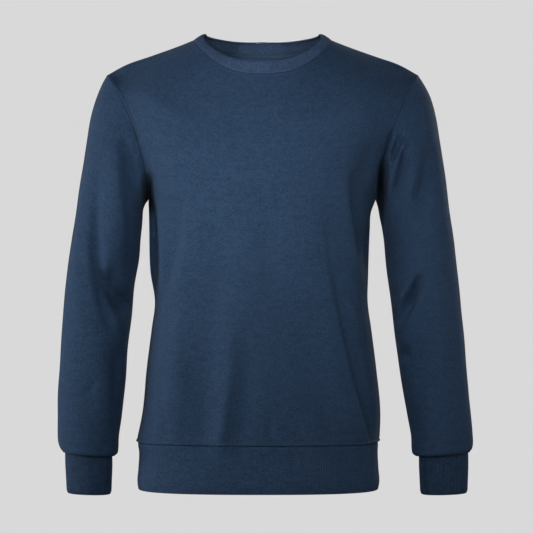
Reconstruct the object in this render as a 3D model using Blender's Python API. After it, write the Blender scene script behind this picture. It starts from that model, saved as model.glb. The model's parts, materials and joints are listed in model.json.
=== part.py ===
"""Crewneck sweatshirt in its worn shape, with nothing inside it: nine cut and sewn pieces, each a thin wall.

Metres, +Z up. The front faces -Y and +X is the wearer's left. The origin lies midway between the two points
where the shoulder seams meet the neck seam. Tables are in millimetres and are turned into metres once.
"""

import math

import bmesh
import bpy
import numpy as np

MM = 0.001
NAVY = (0.025, 0.051, 0.102)
ROUGHNESS = 0.9

# Cloth and seams
FLEECE = 1.8 * MM  # sweatshirt fleece of the body and sleeves
RIB_BAND = 2.8 * MM  # rib knit, folded double
TAPE = 1.0 * MM  # twill tape over the back neck seam
SEAM_GAP = 0.3 * MM  # between any two pieces
RIB_RELIEF = 0.7 * MM  # from a rib's groove to its ridge

# Lengths
HEM_BAND_HEIGHT = 75 * MM
TAPE_LEVEL = 2.87  # the body row that the tape's lower edge follows
TAPE_COLUMNS = slice(2, -2)  # the back panel's columns that the tape covers
CUFF_TUCK = 1 / 3  # how far down the cuff table's first row the sleeve's end lies

# Mesh density
PANEL_COLUMNS = 22  # across the front, and across the back
BODY_ROWS = (11, 10, 3)  # hem seam to armpit, armpit to shoulder point, shoulder point to the neck tape
SLEEVE_SIDES = 2 * BODY_ROWS[1]  # the armhole's points are the body's rows, twice
SLEEVE_RINGS = 18
RIB_COLUMNS = {"collar": 8, "hem": 11, "cuff": 6}  # half ribs for each side of the polygon that the rib is sewn to
FINE = 61  # points on a row before it is divided evenly
RELAX_REACH = 95 * MM  # round the shoulder points
RELAX_TIMES = 12
RIM_ANGLE = math.radians(60)  # a wall's cut edges shade as edges, and its ribs and folds don't

LEFT, RIGHT = 1, -1  # the wearer's left is +X
FRONT, BACK = -1, 1


def table(columns, *rows):
    """A dictionary of named columns, as arrays."""
    return dict(zip(columns.split(), np.array(rows, float).T))


# Levels run up the body: 0 is the hem seam, 1 the armpit, 2 the shoulder point and 3 the neck seam.
# The centre lines of front and back. square is 1 for an oval section and less for a boxier one, and rise
# says how late a row climbs from the centre to its side.
CENTRE = table(
    "level front_y front_z back_y back_z square rise",
    (0.00, -97, -616, 95, -616, 0.75, 2.0),
    (0.30, -103, -506, 101, -505, 0.79, 2.0),
    (0.57, -110, -411, 106, -409, 0.83, 2.0),
    (0.80, -117, -332, 112, -328, 0.85, 2.0),
    (1.00, -121, -262, 117, -256, 0.86, 2.0),
    (1.33, -122, -213, 120, -200, 0.88, 2.0),
    (1.67, -115, -163, 117, -142, 0.92, 2.1),
    (2.00, -104, -122, 109, -93, 0.96, 2.2),
    (2.50, -91, -88, 99, -49, 1.00, 2.4),
    (3.00, -80, -58, 90, -12, 1.00, 2.6),
)
# The side seam, from the hem seam up to the armpit.
SIDE = table(
    "level z left_x right_x",
    (0.00, -616, 179, 192),
    (0.10, -579, 181, 185.5),
    (0.30, -505, 174.5, 178),
    (0.46, -446, 167, 170.5),
    (0.57, -405, 161.5, 165.5),
    (0.70, -357, 162.5, 172.5),
    (0.88, -290, 165, 174.5),
    (0.95, -264, 166.5, 175),
    (1.00, -246, 174, 176),
)
# The shoulder seam, from the shoulder point to the neck.
SHOULDER = table(
    "level x z",
    (2.00, 239, -53.5),
    (2.20, 213, -39),
    (2.50, 173, -24.7),
    (2.75, 140, -13),
    (3.00, 107, -0.5),
)
SEAM_Y = 4 * MM  # the side and shoulder seams lie a little behind the origin
ARMHOLE_DEPTH = {FRONT: 68 * MM, BACK: 68 * MM}  # how far the armhole swells from the shoulder seam's plane
ARMHOLE_SCOOP = {FRONT: 2.2, BACK: 1.8}  # higher is cut further in
ARMHOLE_ROUND = 0.9

# The collar's top edge beside the neck seam: how far in and how far up, at the front, side and back.
COLLAR = table(
    "angle inward up",
    (0, 13, 21),
    (45, 16, 17),
    (90, 18, 9),
    (135, 15, 13.5),
    (180, 10, 15.5),
)

# Rows of the collar's outside, from the neck seam (0) to the top edge (1), and how far each bulges out.
COLLAR_SECTION = table(
    "height bulge",
    (0, 0),
    (0.45, 0.8),
    (0.88, 0.2),
    (1.04, -1.4),
)
COLLAR_INSIDE = (0.5, 0.94)
# Rows of the hem band's outside, from the hem seam down, and how far each bulges out.
HEM_SECTION = table(
    "share bulge",
    (0, -0.6),
    (0.35, -2.2),
    (1, -1.4),
)

# Sleeve rings, from the armhole to the end that blouses over the cuff. outer and inner are the ring's two ends
# as the front shows them; front and back are its depths from mid_y.
SLEEVE = table(
    "outer_z outer_left outer_right inner_z inner_left inner_right front back mid_y",
    (-53.5, 239, 239, -246, 174, 176, 68, 68, 4),
    (-70, 249, 248, -252, 176.5, 180.5, 69, 70, 4),
    (-92, 259, 257, -258, 178.5, 183, 70, 71, 4),
    (-122, 267.5, 265.5, -265, 180, 184.5, 70, 72, 4),
    (-160, 274, 271.5, -274, 181.5, 185, 69, 72, 5),
    (-205, 280.5, 278.5, -287, 184, 186, 67, 70, 5),
    (-255, 287, 286, -308, 187, 188.5, 63, 66, 6),
    (-310, 295, 294.5, -340, 190, 191, 59, 62, 6),
    (-365, 301, 302, -378, 194.5, 197.5, 56, 58, 5),
    (-420, 306.5, 307, -425, 200.5, 201.5, 53, 55, 3),
    (-475, 311.5, 310.5, -476, 207, 208.5, 51, 52, 0),
    (-530, 315.5, 314, -530, 214, 211.5, 48, 49, -3),
    (-575, 320.5, 315, -577, 222, 215.5, 46, 46, -7),
    (-605, 325, 315.5, -610, 228, 220, 44, 44, -9),
    (-623, 324, 312.5, -630, 230, 221.5, 40, 40, -10),
    (-635, 318.5, 306.5, -640, 238, 229, 31, 31, -11),
)
SLEEVE_RADIUS = 55 * MM
SLEEVE_ROW = 42 * MM  # about the height of one row of that table
ARMHOLE_FADE = 7  # sleeve rows over which the armhole's scoop dies away

# The cuffs, from inside the sleeve's end down to the hand.
CUFF = table(
    "outer_z outer_left outer_right inner_z inner_left inner_right front back mid_y",
    (-625, 315, 303, -631, 240, 231, 28, 28, -11),
    (-655, 315.5, 302.5, -659, 239.5, 230, 28, 28, -12),
    (-686, 314.5, 300.5, -690, 241.5, 231.5, 27, 27, -13),
    (-698.5, 312, 297, -700, 245, 235, 25, 25, -13),
)

# Soft folds of the front and back, as the front view shows their ends; depth is out of the cloth, so a trough's
# is negative. Widths are from the fold's middle to where it has nearly died away.
BODY_FOLDS = table(
    "face x0 z0 x1 z1 width depth",
    (FRONT, -156, -250, -158, -410, 18, 6),
    (FRONT, -128, -320, -116, -570, 30, -7),
    (FRONT, -72, -410, -66, -610, 30, 6),
    (FRONT, -40, -470, -54, -610, 22, -6),
    (FRONT, 96, -310, 166, -600, 30, -8),
    (FRONT, 138, -250, 156, -400, 24, 6),
    (BACK, 150, -280, 112, -480, 28, -7),
    (BACK, -148, -270, -92, -470, 28, -7),
    (BACK, 40, -370, 74, -600, 30, -7),
    (BACK, -16, -390, -30, -600, 30, 6),
    (BACK, -60, -410, -90, -600, 26, -6),
)
# Folds of the sleeves: along is in table rows from the armhole, round is in degrees from the outer edge
# towards the front.
SLEEVE_FOLDS = table(
    "side along0 round0 along1 round1 width depth",
    (RIGHT, 4.3, 60, 8.8, 130, 22, -7),
    (RIGHT, 6.4, 160, 7.9, 95, 20, -6),
    (RIGHT, 5.0, 225, 8.2, 300, 24, -6),
    (LEFT, 6.0, 160, 8.4, 90, 22, -7),
    (LEFT, 3.6, 130, 5.6, 75, 24, -5),
    (LEFT, 5.2, 300, 8.0, 225, 24, -6),
)


def smooth(at, xs, ys):
    """A Catmull-Rom curve through a table's column, read at one place or many."""
    slopes = np.gradient(ys, xs)
    i = np.clip(np.searchsorted(xs, at, side="right") - 1, 0, len(xs) - 2)
    step = xs[i + 1] - xs[i]
    t = (at - xs[i]) / step
    rise = ys[i + 1] - ys[i]
    bend = t * (t - 1)
    return ys[i] + t * rise + bend * ((t - 1) * (step * slopes[i] - rise) + t * (step * slopes[i + 1] - rise))


def read(rows, column, at, key="level"):
    return smooth(at, rows[key], rows[column])


def armhole(turn, side, face):
    """A point of the armhole. turn is 0 at the shoulder point and 180 at the armpit."""
    top = np.array([SHOULDER["x"][0], SHOULDER["z"][0]]) * MM
    pit = np.array([SIDE["left_x" if side == LEFT else "right_x"][-1], SIDE["z"][-1]]) * MM
    height = (1 + math.cos(math.radians(turn))) / 2
    swell = abs(math.sin(math.radians(turn))) ** ARMHOLE_ROUND
    x = pit[0] + (top[0] - pit[0]) * height ** ARMHOLE_SCOOP[face]
    z = pit[1] + (top[1] - pit[1]) * height
    return np.array([side * x, SEAM_Y + face * ARMHOLE_DEPTH[face] * swell, z])


def panel_edge(level, side, face):
    """Where a body row ends: on the side seam, the armhole or the shoulder seam."""
    if level <= 1:
        x = read(SIDE, "left_x" if side == LEFT else "right_x", level)
        return np.array([side * x * MM, SEAM_Y, read(SIDE, "z", level) * MM])
    if level < 2:
        return armhole(180 * (2 - level), side, face)
    x, z = (read(SHOULDER, c, level) * MM for c in "xz")
    return np.array([side * x, SEAM_Y, z])


def half_row(level, side, face):
    """A row from the centre line to its edge: a stretch of a superellipse, seen from above."""
    name = "front" if face == FRONT else "back"
    y0, z0, power, rise = (read(CENTRE, c, level) for c in (f"{name}_y", f"{name}_z", "square", "rise"))
    edge = panel_edge(level, side, face)
    depth = y0 * MM - SEAM_Y
    share = min(max((edge[1] - SEAM_Y) / depth, 0), 1)  # 0 where the row turns all the way to the seam
    last = math.acos(share ** (1 / power))
    turn = np.linspace(0, last, FINE)
    across = (np.sin(turn) / math.sin(last)) ** power
    climb = np.sin(turn / last * math.pi / 2) ** rise
    return np.stack(
        [
            edge[0] * across,
            SEAM_Y + depth * np.cos(turn) ** power,
            z0 * MM + (edge[2] - z0 * MM) * climb,
        ],
        axis=1,
    )


def evenly(line, count):
    """The line again, as count + 1 points the same way apart."""
    along = np.concatenate([[0], np.cumsum(np.linalg.norm(np.diff(line, axis=0), axis=1))])
    at = np.linspace(0, along[-1], count + 1)
    return np.stack([np.interp(at, along, line[:, k]) for k in range(3)], axis=1)


def panel_row(level, face):
    """A whole row of the front or the back, from the wearer's right to the left."""
    right, left = (half_row(level, side, face) for side in (RIGHT, LEFT))
    return evenly(np.concatenate([right[::-1], left[1:]]), PANEL_COLUMNS)


def body_levels():
    ends = (0, 1, 2, TAPE_LEVEL)
    parts = [np.linspace(a, b, rows + 1)[:-1] for a, b, rows in zip(ends, ends[1:], BODY_ROWS)]
    return np.concatenate([*parts, [TAPE_LEVEL, 3]])


def normals(grid, around=False, flip=False):
    """Unit normals of a grid of points; around says that the last column meets the first."""
    wide = np.concatenate([grid[:, -1:], grid, grid[:, :1]], axis=1) if around else grid
    across = np.gradient(wide, axis=1)
    if around:
        across = across[:, 1:-1]
    n = np.cross(across, np.gradient(grid, axis=0))
    n /= np.maximum(np.linalg.norm(n, axis=2, keepdims=True), 1e-12)
    return -n if flip else n


def fold_height(px, pz, x0, z0, x1, z1, width, depth):
    """A soft fold between two points: highest in its middle, gone at its ends and at its width."""
    along = np.array([x1 - x0, z1 - z0])
    length = np.linalg.norm(along)
    along = along / length
    s = ((px - x0) * along[0] + (pz - z0) * along[1]) / length
    off = (px - x0) * -along[1] + (pz - z0) * along[0]
    ends = np.sin(np.pi * np.clip(s, 0, 1)) ** 0.8
    return depth * ends * np.exp(-((off / (0.6 * width)) ** 2))


def relax(grid, times=RELAX_TIMES):
    """Eases a panel round its shoulder points, where its rows crowd into the corner; the edges stay put."""
    corners = [panel_edge(2.0, side, FRONT) for side in (RIGHT, LEFT)]
    far = np.min([np.linalg.norm(grid - c, axis=2) for c in corners], axis=0)
    ease = np.exp(-((far / RELAX_REACH) ** 2))[1:-1, 1:-1, None]
    for _ in range(times):
        mean = (grid[:-2, 1:-1] + grid[2:, 1:-1] + grid[1:-1, :-2] + grid[1:-1, 2:]) / 4
        grid[1:-1, 1:-1] += (mean - grid[1:-1, 1:-1]) * ease
    return grid


def edge_fade(rows, columns, reach=2.0):
    """0 on a panel's edges and 1 inside, so that folds leave the seams where they are."""
    r = np.minimum(np.arange(rows), np.arange(rows)[::-1])[:, None] / reach
    c = np.minimum(np.arange(columns), np.arange(columns)[::-1])[None, :] / reach
    return np.clip(np.minimum(r, c), 0, 1)


def body_panel(face):
    """The outer points of the front or back, and their outward normals."""
    grid = relax(np.array([panel_row(level, face) for level in body_levels()]))
    out = normals(grid, flip=face == BACK)
    lift = np.zeros(grid.shape[:2])
    for which, *fold in zip(*BODY_FOLDS.values()):
        if which == face:
            lift += fold_height(grid[:, :, 0] / MM, grid[:, :, 2] / MM, *fold)
    lift *= edge_fade(*lift.shape)
    return grid + out * lift[:, :, None] * MM, out


def ring(rows, along, side, turn):
    """A point of a sleeve or cuff, or many. turn is 0 at the outer edge and 90 at the front."""
    name = "left" if side == LEFT else "right"
    index = np.arange(len(rows["front"]), dtype=float)
    at = {c: smooth(along, index, rows[c]) for c in rows}
    cos, sin = np.cos(np.radians(turn)), np.sin(np.radians(turn))
    outer_x, inner_x = at[f"outer_{name}"], at[f"inner_{name}"]
    x = (outer_x + inner_x) / 2 + cos * (outer_x - inner_x) / 2
    z = (at["outer_z"] + at["inner_z"]) / 2 + cos * (at["outer_z"] - at["inner_z"]) / 2
    y = at["mid_y"] - np.where(sin > 0, at["front"], at["back"]) * np.sign(sin) * np.abs(sin) ** 0.94
    return np.stack([side * x, y, z], axis=-1) * MM


def armhole_loop(side):
    """The armhole's points, in the sleeve's order: shoulder point, front, armpit, back."""
    turns = np.arange(SLEEVE_SIDES) * 360 / SLEEVE_SIDES
    return np.array([armhole(t, side, FRONT) if t <= 180 else armhole(360 - t, side, BACK) for t in turns])


def cuff(side):
    """The outer points of a cuff, and their outward normals."""
    turns = np.arange(SLEEVE_SIDES) * 360 / SLEEVE_SIDES
    alongs = np.arange(len(CUFF["front"]))
    grid = np.array([ring(CUFF, float(along), side, turns) for along in alongs])
    return grid, normals(grid, around=True, flip=side == RIGHT)


def cuff_normals(side):
    return cuff(side)[1][0]


def sleeve(side):
    """The outer points of a sleeve, and their outward normals."""
    turns = np.arange(SLEEVE_SIDES) * 360 / SLEEVE_SIDES
    last = len(SLEEVE["front"]) - 1
    alongs = np.linspace(0, last, SLEEVE_RINGS + 1)
    scoop = armhole_loop(side) - ring(SLEEVE, 0.0, side, turns)
    grid = []
    for along in alongs:
        fade = max(0.0, 1 - along / ARMHOLE_FADE) ** 2
        grid.append(ring(SLEEVE, along, side, turns) + scoop * fade)
    grid = np.array(grid)
    out = normals(grid, around=True, flip=side == RIGHT)
    lift = np.zeros(grid.shape[:2])
    degree = SLEEVE_RADIUS / MM * math.pi / 180
    row = SLEEVE_ROW / MM
    across, down = np.meshgrid(turns * degree, alongs * row)
    for who, along0, round0, along1, round1, width, depth in zip(*SLEEVE_FOLDS.values()):
        if who == side:
            ends = (round0 * degree, along0 * row, round1 * degree, along1 * row)
            lift += fold_height(across, down, *ends, width, depth)
    lift *= np.clip(np.minimum(alongs, last - alongs) / 1.5, 0, 1)[:, None]
    grid += out * lift[:, :, None] * MM
    # The end is turned in to the cuff, and lies just outside it.
    out[-1] = cuff_normals(side)
    grid[-1] = ring(CUFF, CUFF_TUCK, side, turns) + out[-1] * (RIB_RELIEF / 2 + SEAM_GAP + FLEECE)
    return grid, out


def mean_direction(a, b):
    both = a + b
    return both / np.linalg.norm(both, axis=-1, keepdims=True)


def across_seam(loop, shared, towards):
    """Unit directions across a closed seam, on the side where towards points."""
    along = np.roll(loop, -1, axis=0) - np.roll(loop, 1, axis=0)
    across = np.cross(along, shared)
    across /= np.linalg.norm(across, axis=1, keepdims=True)
    return across * np.sign((across * towards).sum(axis=1, keepdims=True))


def make(name, points, faces):
    """A mesh object of one closed wall, with its own cloth."""
    mesh = bpy.data.meshes.new(name)
    build = bmesh.new()
    corners = [build.verts.new(p) for p in points]
    for face in faces:
        build.faces.new([corners[i] for i in face])
    bmesh.ops.recalc_face_normals(build, faces=build.faces)
    build.to_mesh(mesh)
    build.free()
    mesh.shade_smooth()
    mesh.set_sharp_from_angle(angle=RIM_ANGLE)
    cloth = bpy.data.materials.new(name)
    cloth.use_nodes = True
    shader = cloth.node_tree.nodes["Principled BSDF"]
    shader.inputs["Base Color"].default_value = (*NAVY, 1)
    shader.inputs["Roughness"].default_value = ROUGHNESS
    mesh.materials.append(cloth)
    GARMENT.objects.link(bpy.data.objects.new(name, mesh))


def sheet_faces(index):
    """Quads over a grid of point numbers."""
    return [
        (index[r, c], index[r, c + 1], index[r + 1, c + 1], index[r + 1, c])
        for r in range(index.shape[0] - 1)
        for c in range(index.shape[1] - 1)
    ]


def wrapped(index):
    return np.concatenate([index, index[:, :1]], axis=1)


def flat_wall(name, outer, inner, around=False):
    """A wall between two grids that match point for point: open like a panel, or around like a sleeve."""
    front = np.arange(outer.shape[0] * outer.shape[1]).reshape(outer.shape[:2])
    back = front + front.size
    if around:
        front, back = wrapped(front), wrapped(back)
    faces = sheet_faces(front) + sheet_faces(back)
    rims = [(front[0], back[0]), (front[-1], back[-1])]
    if not around:
        rims += [(front[:, 0], back[:, 0]), (front[:, -1], back[:, -1])]
    for rim in rims:
        faces += sheet_faces(np.array(rim))
    make(name, np.concatenate([outer.reshape(-1, 3), inner.reshape(-1, 3)]), faces)


def ribbed_wall(name, outer, out, inner, between):
    """A closed band whose outer points are raised into ribs, over a plain inside with fewer points."""
    share = (np.arange(outer.shape[1] * between) / between) % 1
    column = np.arange(outer.shape[1] * between) // between
    after = (column + 1) % outer.shape[1]
    blend = share[None, :, None]
    fine = outer[:, column] * (1 - blend) + outer[:, after] * blend
    lean = out[:, column] * (1 - blend) + out[:, after] * blend
    relief = np.where(np.arange(fine.shape[1]) % 2 == 0, 0.5, -0.5) * RIB_RELIEF
    fine = fine + lean * relief[None, :, None]
    front = wrapped(np.arange(fine.shape[0] * fine.shape[1]).reshape(fine.shape[:2]))
    back = wrapped(np.arange(inner.shape[0] * inner.shape[1]).reshape(inner.shape[:2]) + front[:, :-1].size)
    faces = sheet_faces(front) + sheet_faces(back)
    for many, few in ((front[0], back[0]), (front[-1], back[-1])):
        for i in range(len(few) - 1):
            middle = i * between + between // 2
            for j in range(i * between, (i + 1) * between):
                faces.append((many[j], many[j + 1], few[i] if j < middle else few[i + 1]))
            faces.append((few[i], many[middle], few[i + 1]))
    make(name, np.concatenate([fine.reshape(-1, 3), inner.reshape(-1, 3)]), faces)


def collar_top(foot, out):
    """The middle of the collar's top edge above a ring of points on the neck seam."""
    heading = np.degrees(np.arctan2(np.abs(foot[:, 0]), -(foot[:, 1] - SEAM_Y)))
    inward, up = (smooth(heading, COLLAR["angle"], COLLAR[c]) * MM for c in ("inward", "up"))
    level = out * [1, 1, 0]
    level /= np.linalg.norm(level, axis=1, keepdims=True)
    return foot - level * inward[:, None] + np.array([0, 0, 1]) * up[:, None]


def build_garment():
    panels = {face: body_panel(face) for face in (FRONT, BACK)}
    sleeves = {side: sleeve(side) for side in (LEFT, RIGHT)}
    first, last = BODY_ROWS[0], BODY_ROWS[0] + BODY_ROWS[1]
    half_gap = SEAM_GAP / 2

    # Side and shoulder seams: front and back share the normal, and part along Y.
    for column in (0, -1):
        shared = mean_direction(*(panels[face][1][:, column] for face in (FRONT, BACK)))
        for face in (FRONT, BACK):
            grid, out = panels[face]
            seam = np.r_[0 : first + 1, last : len(grid)]
            out[seam, column] = shared[seam]
            grid[seam, column] += [0, face * half_gap, 0]

    # Armholes: the body's rows from the armpit to the shoulder point meet the sleeve's first ring.
    for side, column in ((RIGHT, 0), (LEFT, -1)):
        grid, out = sleeves[side]
        half = BODY_ROWS[1]
        places = [(FRONT, last - i, i) for i in range(half + 1)]
        places += [(BACK, first + i, half + i) for i in range(half + 1)]
        panel_out = np.zeros_like(out[0])
        for face, row, i in places:
            panel_out[i % SLEEVE_SIDES] = panels[face][1][row, column]
        shared = mean_direction(panel_out, out[0])
        across = across_seam(armhole_loop(side), shared, np.array([side, 0, 0]))
        for face, row, i in places:
            panels[face][1][row, column] = shared[i % SLEEVE_SIDES]
            panels[face][0][row, column] -= across[i % SLEEVE_SIDES] * half_gap
        out[0] = shared
        grid[0] += across * half_gap

    # Neck seam: the collar stands on the polygon that the panels' top rows make.
    top_row = [panels[FRONT][0][-1], panels[BACK][0][-1][::-1]]
    top_out = [panels[FRONT][1][-1], panels[BACK][1][-1][::-1]]
    foot, foot_out = (np.concatenate([a[:-1], b[:-1]]) for a, b in (top_row, top_out))
    crest = collar_top(foot, foot_out)
    rise = crest - foot
    rise /= np.linalg.norm(rise, axis=1, keepdims=True)
    along = np.roll(foot, -1, axis=0) - np.roll(foot, 1, axis=0)
    face_out = np.cross(along, rise)
    face_out /= np.linalg.norm(face_out, axis=1, keepdims=True)
    shared = mean_direction(foot_out, face_out)
    upward = across_seam(foot, shared, rise)
    for face, part in ((FRONT, slice(0, PANEL_COLUMNS + 1)), (BACK, slice(PANEL_COLUMNS, None))):
        wide = np.r_[0 : len(foot), 0][part]
        wide = wide if face == FRONT else wide[::-1]
        panels[face][0][-1] -= upward[wide] * half_gap
        panels[face][1][-1] = shared[wide]
    foot = foot + upward * half_gap
    body = COLLAR_SECTION
    rows = [foot * (1 - h) + crest * h + face_out * b * MM for h, b in zip(body["height"], body["bulge"])]
    outs = [shared] + [face_out] * (len(rows) - 2) + [mean_direction(face_out, rise)]
    inside = [foot - shared * RIB_BAND]
    inside += [foot * (1 - h) + crest * h - face_out * RIB_BAND for h in COLLAR_INSIDE]
    ribbed_wall("collar_rib", np.array(rows), np.array(outs), np.array(inside), RIB_COLUMNS["collar"])

    # Hem band, under the polygon that the panels' bottom rows make.
    hem, hem_out = (np.concatenate([panels[FRONT][i][0][:-1], panels[BACK][i][0][::-1][:-1]]) for i in (0, 1))
    hem_out = hem_out * [1, 1, 0]
    hem_out /= np.linalg.norm(hem_out, axis=1, keepdims=True)
    seam_z = CENTRE["front_z"][0] * MM
    rows = []
    for share, bulge in zip(HEM_SECTION["share"], HEM_SECTION["bulge"]):
        row = hem + hem_out * bulge * MM
        row[:, 2] = seam_z - half_gap - share * HEM_BAND_HEIGHT
        rows.append(row)
    rows = np.array(rows)
    inside = rows[[0, -1]] - hem_out * RIB_BAND
    ribbed_wall("hem_band", rows, np.array([hem_out] * len(rows)), inside, RIB_COLUMNS["hem"])
    for face in (FRONT, BACK):
        panels[face][0][0, :, 2] = seam_z + half_gap

    for face, name in ((FRONT, "front_body"), (BACK, "back_body")):
        grid, out = panels[face]
        out[0] *= [1, 1, 0]
        out[0] /= np.linalg.norm(out[0], axis=1, keepdims=True)
        flat_wall(name, grid, grid - out * FLEECE)

    # Neck tape, made from the back panel's own points, on its inside.
    grid, out = (a[-2:, TAPE_COLUMNS] for a in panels[BACK])
    outer = grid - out * (FLEECE + SEAM_GAP)
    flat_wall("neck_tape", outer, outer - out * TAPE)

    for side, name in ((LEFT, "left"), (RIGHT, "right")):
        grid, out = sleeves[side]
        flat_wall(f"sleeve_{name}", grid, grid - out * FLEECE, around=True)
        grid, out = cuff(side)
        inside = grid[[0, 2, -1]] - out[[0, 2, -1]] * RIB_BAND
        ribbed_wall(f"cuff_{name}", grid, out, inside, RIB_COLUMNS["cuff"])


for old in list(bpy.data.objects):
    bpy.data.objects.remove(old, do_unlink=True)
GARMENT = bpy.data.collections.new("crewneck_sweatshirt")
bpy.context.scene.collection.children.link(GARMENT)
build_garment()
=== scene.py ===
# %% [markdown]
# # A navy crewneck sweatshirt
# A sweatshirt is cut from fleece, a thick knit with a smooth face, and closed at every opening with rib,
# a knit that stretches. This one is filled out as if it were worn, with nothing inside. Its plain solids
# are already made and fixed in place, and the script dresses them: smooth panels with soft folds, a
# knitted face, ribs that stand up, and seams with real stitches. A cloth simulation could make the folds,
# but a garment with nobody in it would fall into a heap, so they are shaped by formulas, one by one.
# Everything is in metres, the front faces -Y and +X is the wearer's left.

# %% Open the plain solids
import json
import math

import bmesh
import bpy
import numpy as np
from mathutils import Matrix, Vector, noise

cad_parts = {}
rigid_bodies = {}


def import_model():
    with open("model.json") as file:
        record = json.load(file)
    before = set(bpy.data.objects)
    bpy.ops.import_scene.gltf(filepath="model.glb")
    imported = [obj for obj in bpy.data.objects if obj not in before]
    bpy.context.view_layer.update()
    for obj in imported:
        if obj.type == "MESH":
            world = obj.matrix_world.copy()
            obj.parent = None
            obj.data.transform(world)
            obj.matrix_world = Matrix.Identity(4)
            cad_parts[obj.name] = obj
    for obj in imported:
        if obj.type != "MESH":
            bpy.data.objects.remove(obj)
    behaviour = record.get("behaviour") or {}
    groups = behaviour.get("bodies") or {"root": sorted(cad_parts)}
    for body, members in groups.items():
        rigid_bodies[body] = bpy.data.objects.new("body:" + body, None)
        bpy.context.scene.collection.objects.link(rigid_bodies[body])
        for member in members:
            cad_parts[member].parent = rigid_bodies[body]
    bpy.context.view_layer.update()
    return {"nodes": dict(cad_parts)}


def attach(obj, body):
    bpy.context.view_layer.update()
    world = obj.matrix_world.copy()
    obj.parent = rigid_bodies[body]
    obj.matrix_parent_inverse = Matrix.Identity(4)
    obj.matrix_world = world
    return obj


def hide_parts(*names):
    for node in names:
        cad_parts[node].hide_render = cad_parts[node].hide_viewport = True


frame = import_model()
print("solids:", ", ".join(sorted(frame["nodes"])))

# %% [markdown]
# ## The camera
# Clothes look right through a long lens from some way off: it keeps the near and far sides of a garment
# almost the same size, where a short lens close by would swell the chest and shrink the sleeves. The
# camera stands level with the middle of the garment, 3.2 m in front. Everything is sharp, so depth of
# field stays off.

# %% Set up the camera
CAMERA_AT = (0.006, -3.2, -0.3488)
SENSOR_WIDTH = 36
LENS = 140.35

scene = bpy.context.scene
eye = bpy.data.objects.new("camera", bpy.data.cameras.new("camera"))
scene.collection.objects.link(eye)
eye.location = CAMERA_AT
eye.rotation_euler = (math.radians(90), 0, 0)
eye.data.sensor_width = SENSOR_WIDTH
eye.data.lens = LENS
scene.camera = eye
scene.view_settings.view_transform = "Standard"
print("camera:", LENS, "mm lens, standing at", CAMERA_AT)

# %% [markdown]
# ## Sizes in tables
# A pattern cutter works from a short list of measures, and so does this script. Each table has named
# columns and one row for each place that was measured. A smooth curve through the rows gives every size
# in between. A Catmull-Rom curve is used, because it passes through every measure that it is given.

# %% Tables and smooth curves
MM = 0.001
LEFT, RIGHT = 1, -1
FRONT, BACK = -1, 1


def table(columns, *rows):
    """A dictionary of named columns, as arrays."""
    return dict(zip(columns.split(), np.array(rows, float).T))


def smooth(at, xs, ys):
    """A Catmull-Rom curve through the rows of ys, read at one place or many."""
    xs, ys, at = np.asarray(xs, float), np.asarray(ys, float), np.asarray(at, float)
    slopes = np.gradient(ys, xs, axis=0)
    i = np.clip(np.searchsorted(xs, at, side="right") - 1, 0, len(xs) - 2)
    shape = at.shape + (1,) * (ys.ndim - 1)
    step = (xs[i + 1] - xs[i]).reshape(shape)
    t = (at - xs[i]).reshape(shape) / step
    rise = ys[i + 1] - ys[i]
    return ys[i] + t * rise + t * (t - 1) * (
        (t - 1) * (step * slopes[i] - rise) + t * (step * slopes[i + 1] - rise)
    )


def read(rows, column, at, key="level"):
    """One column of a table, read anywhere between its rows."""
    return smooth(at, rows[key], rows[column])


print("a smooth curve through 0, 1 and 4, read between them:", smooth([0.5, 1.5], [0, 1, 2], [0, 1, 4]))

# %% [markdown]
# ## The body's shape
# Levels run up the body: 0 is the hem seam, 1 the armpit, 2 the shoulder point and 3 the neck seam. The
# centre table holds the middle of the front and of the back, and the other two hold the side seam and the
# shoulder seam. square is 1 for an oval section and less for a boxier one, and rise says how late a row
# climbs from the middle to its side. Such tables could be replaced by a sculpted mesh, but a sculpted
# mesh can't be checked against a tape measure.

# %% The body's measures, in millimetres
CENTRE = table(
    "level front_y front_z back_y back_z square rise",
    (0.00, -97, -617.5, 95, -617.5, 0.75, 2.0),
    (0.30, -103, -506, 101, -505, 0.79, 2.0),
    (0.57, -110, -411, 106, -409, 0.83, 2.0),
    (0.80, -117, -332, 112, -328, 0.85, 2.0),
    (1.00, -121, -262, 117, -256, 0.86, 2.0),
    (1.33, -122, -213, 120, -200, 0.88, 2.0),
    (1.67, -115, -163, 117, -142, 0.92, 2.1),
    (2.00, -104, -122, 109, -93, 0.96, 2.2),
    (2.50, -91, -88, 99, -49, 1.00, 2.4),
    (3.00, -80, -58, 90, -12, 1.00, 2.6),
)
SIDE = table(
    "level z left_x right_x",
    (0.00, -617.5, 179.5, 193.5),
    (0.10, -579, 181, 185.5),
    (0.30, -505, 174.5, 178),
    (0.46, -446, 167, 170.5),
    (0.57, -405, 161.5, 165.5),
    (0.70, -357, 162.5, 172.5),
    (0.88, -290, 165, 174.5),
    (0.95, -264, 166.5, 175),
    (1.00, -246, 174, 176),
)
SHOULDER = table(
    "level x z",
    (2.00, 239, -53.5),
    (2.20, 213, -39),
    (2.50, 173, -24.7),
    (2.75, 140, -13),
    (3.00, 107, -0.5),
)
SEAM_Y = 4 * MM
ARMHOLE_DEPTH = 68 * MM
FRONT_SCOOP = {LEFT: 1.7, RIGHT: 2.1}
BACK_SCOOP = 1.8
ARMHOLE_ROUND = 0.9
PANEL_COLUMNS = 44
HALF_ROW_STEPS = 60
BODY_LEVELS = np.concatenate([np.linspace(0, 1, 23)[:-1], np.linspace(1, 2, 21)[:-1], np.linspace(2, 3, 8)])
print("body:", len(BODY_LEVELS), "rows from the hem to the neck")

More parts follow.
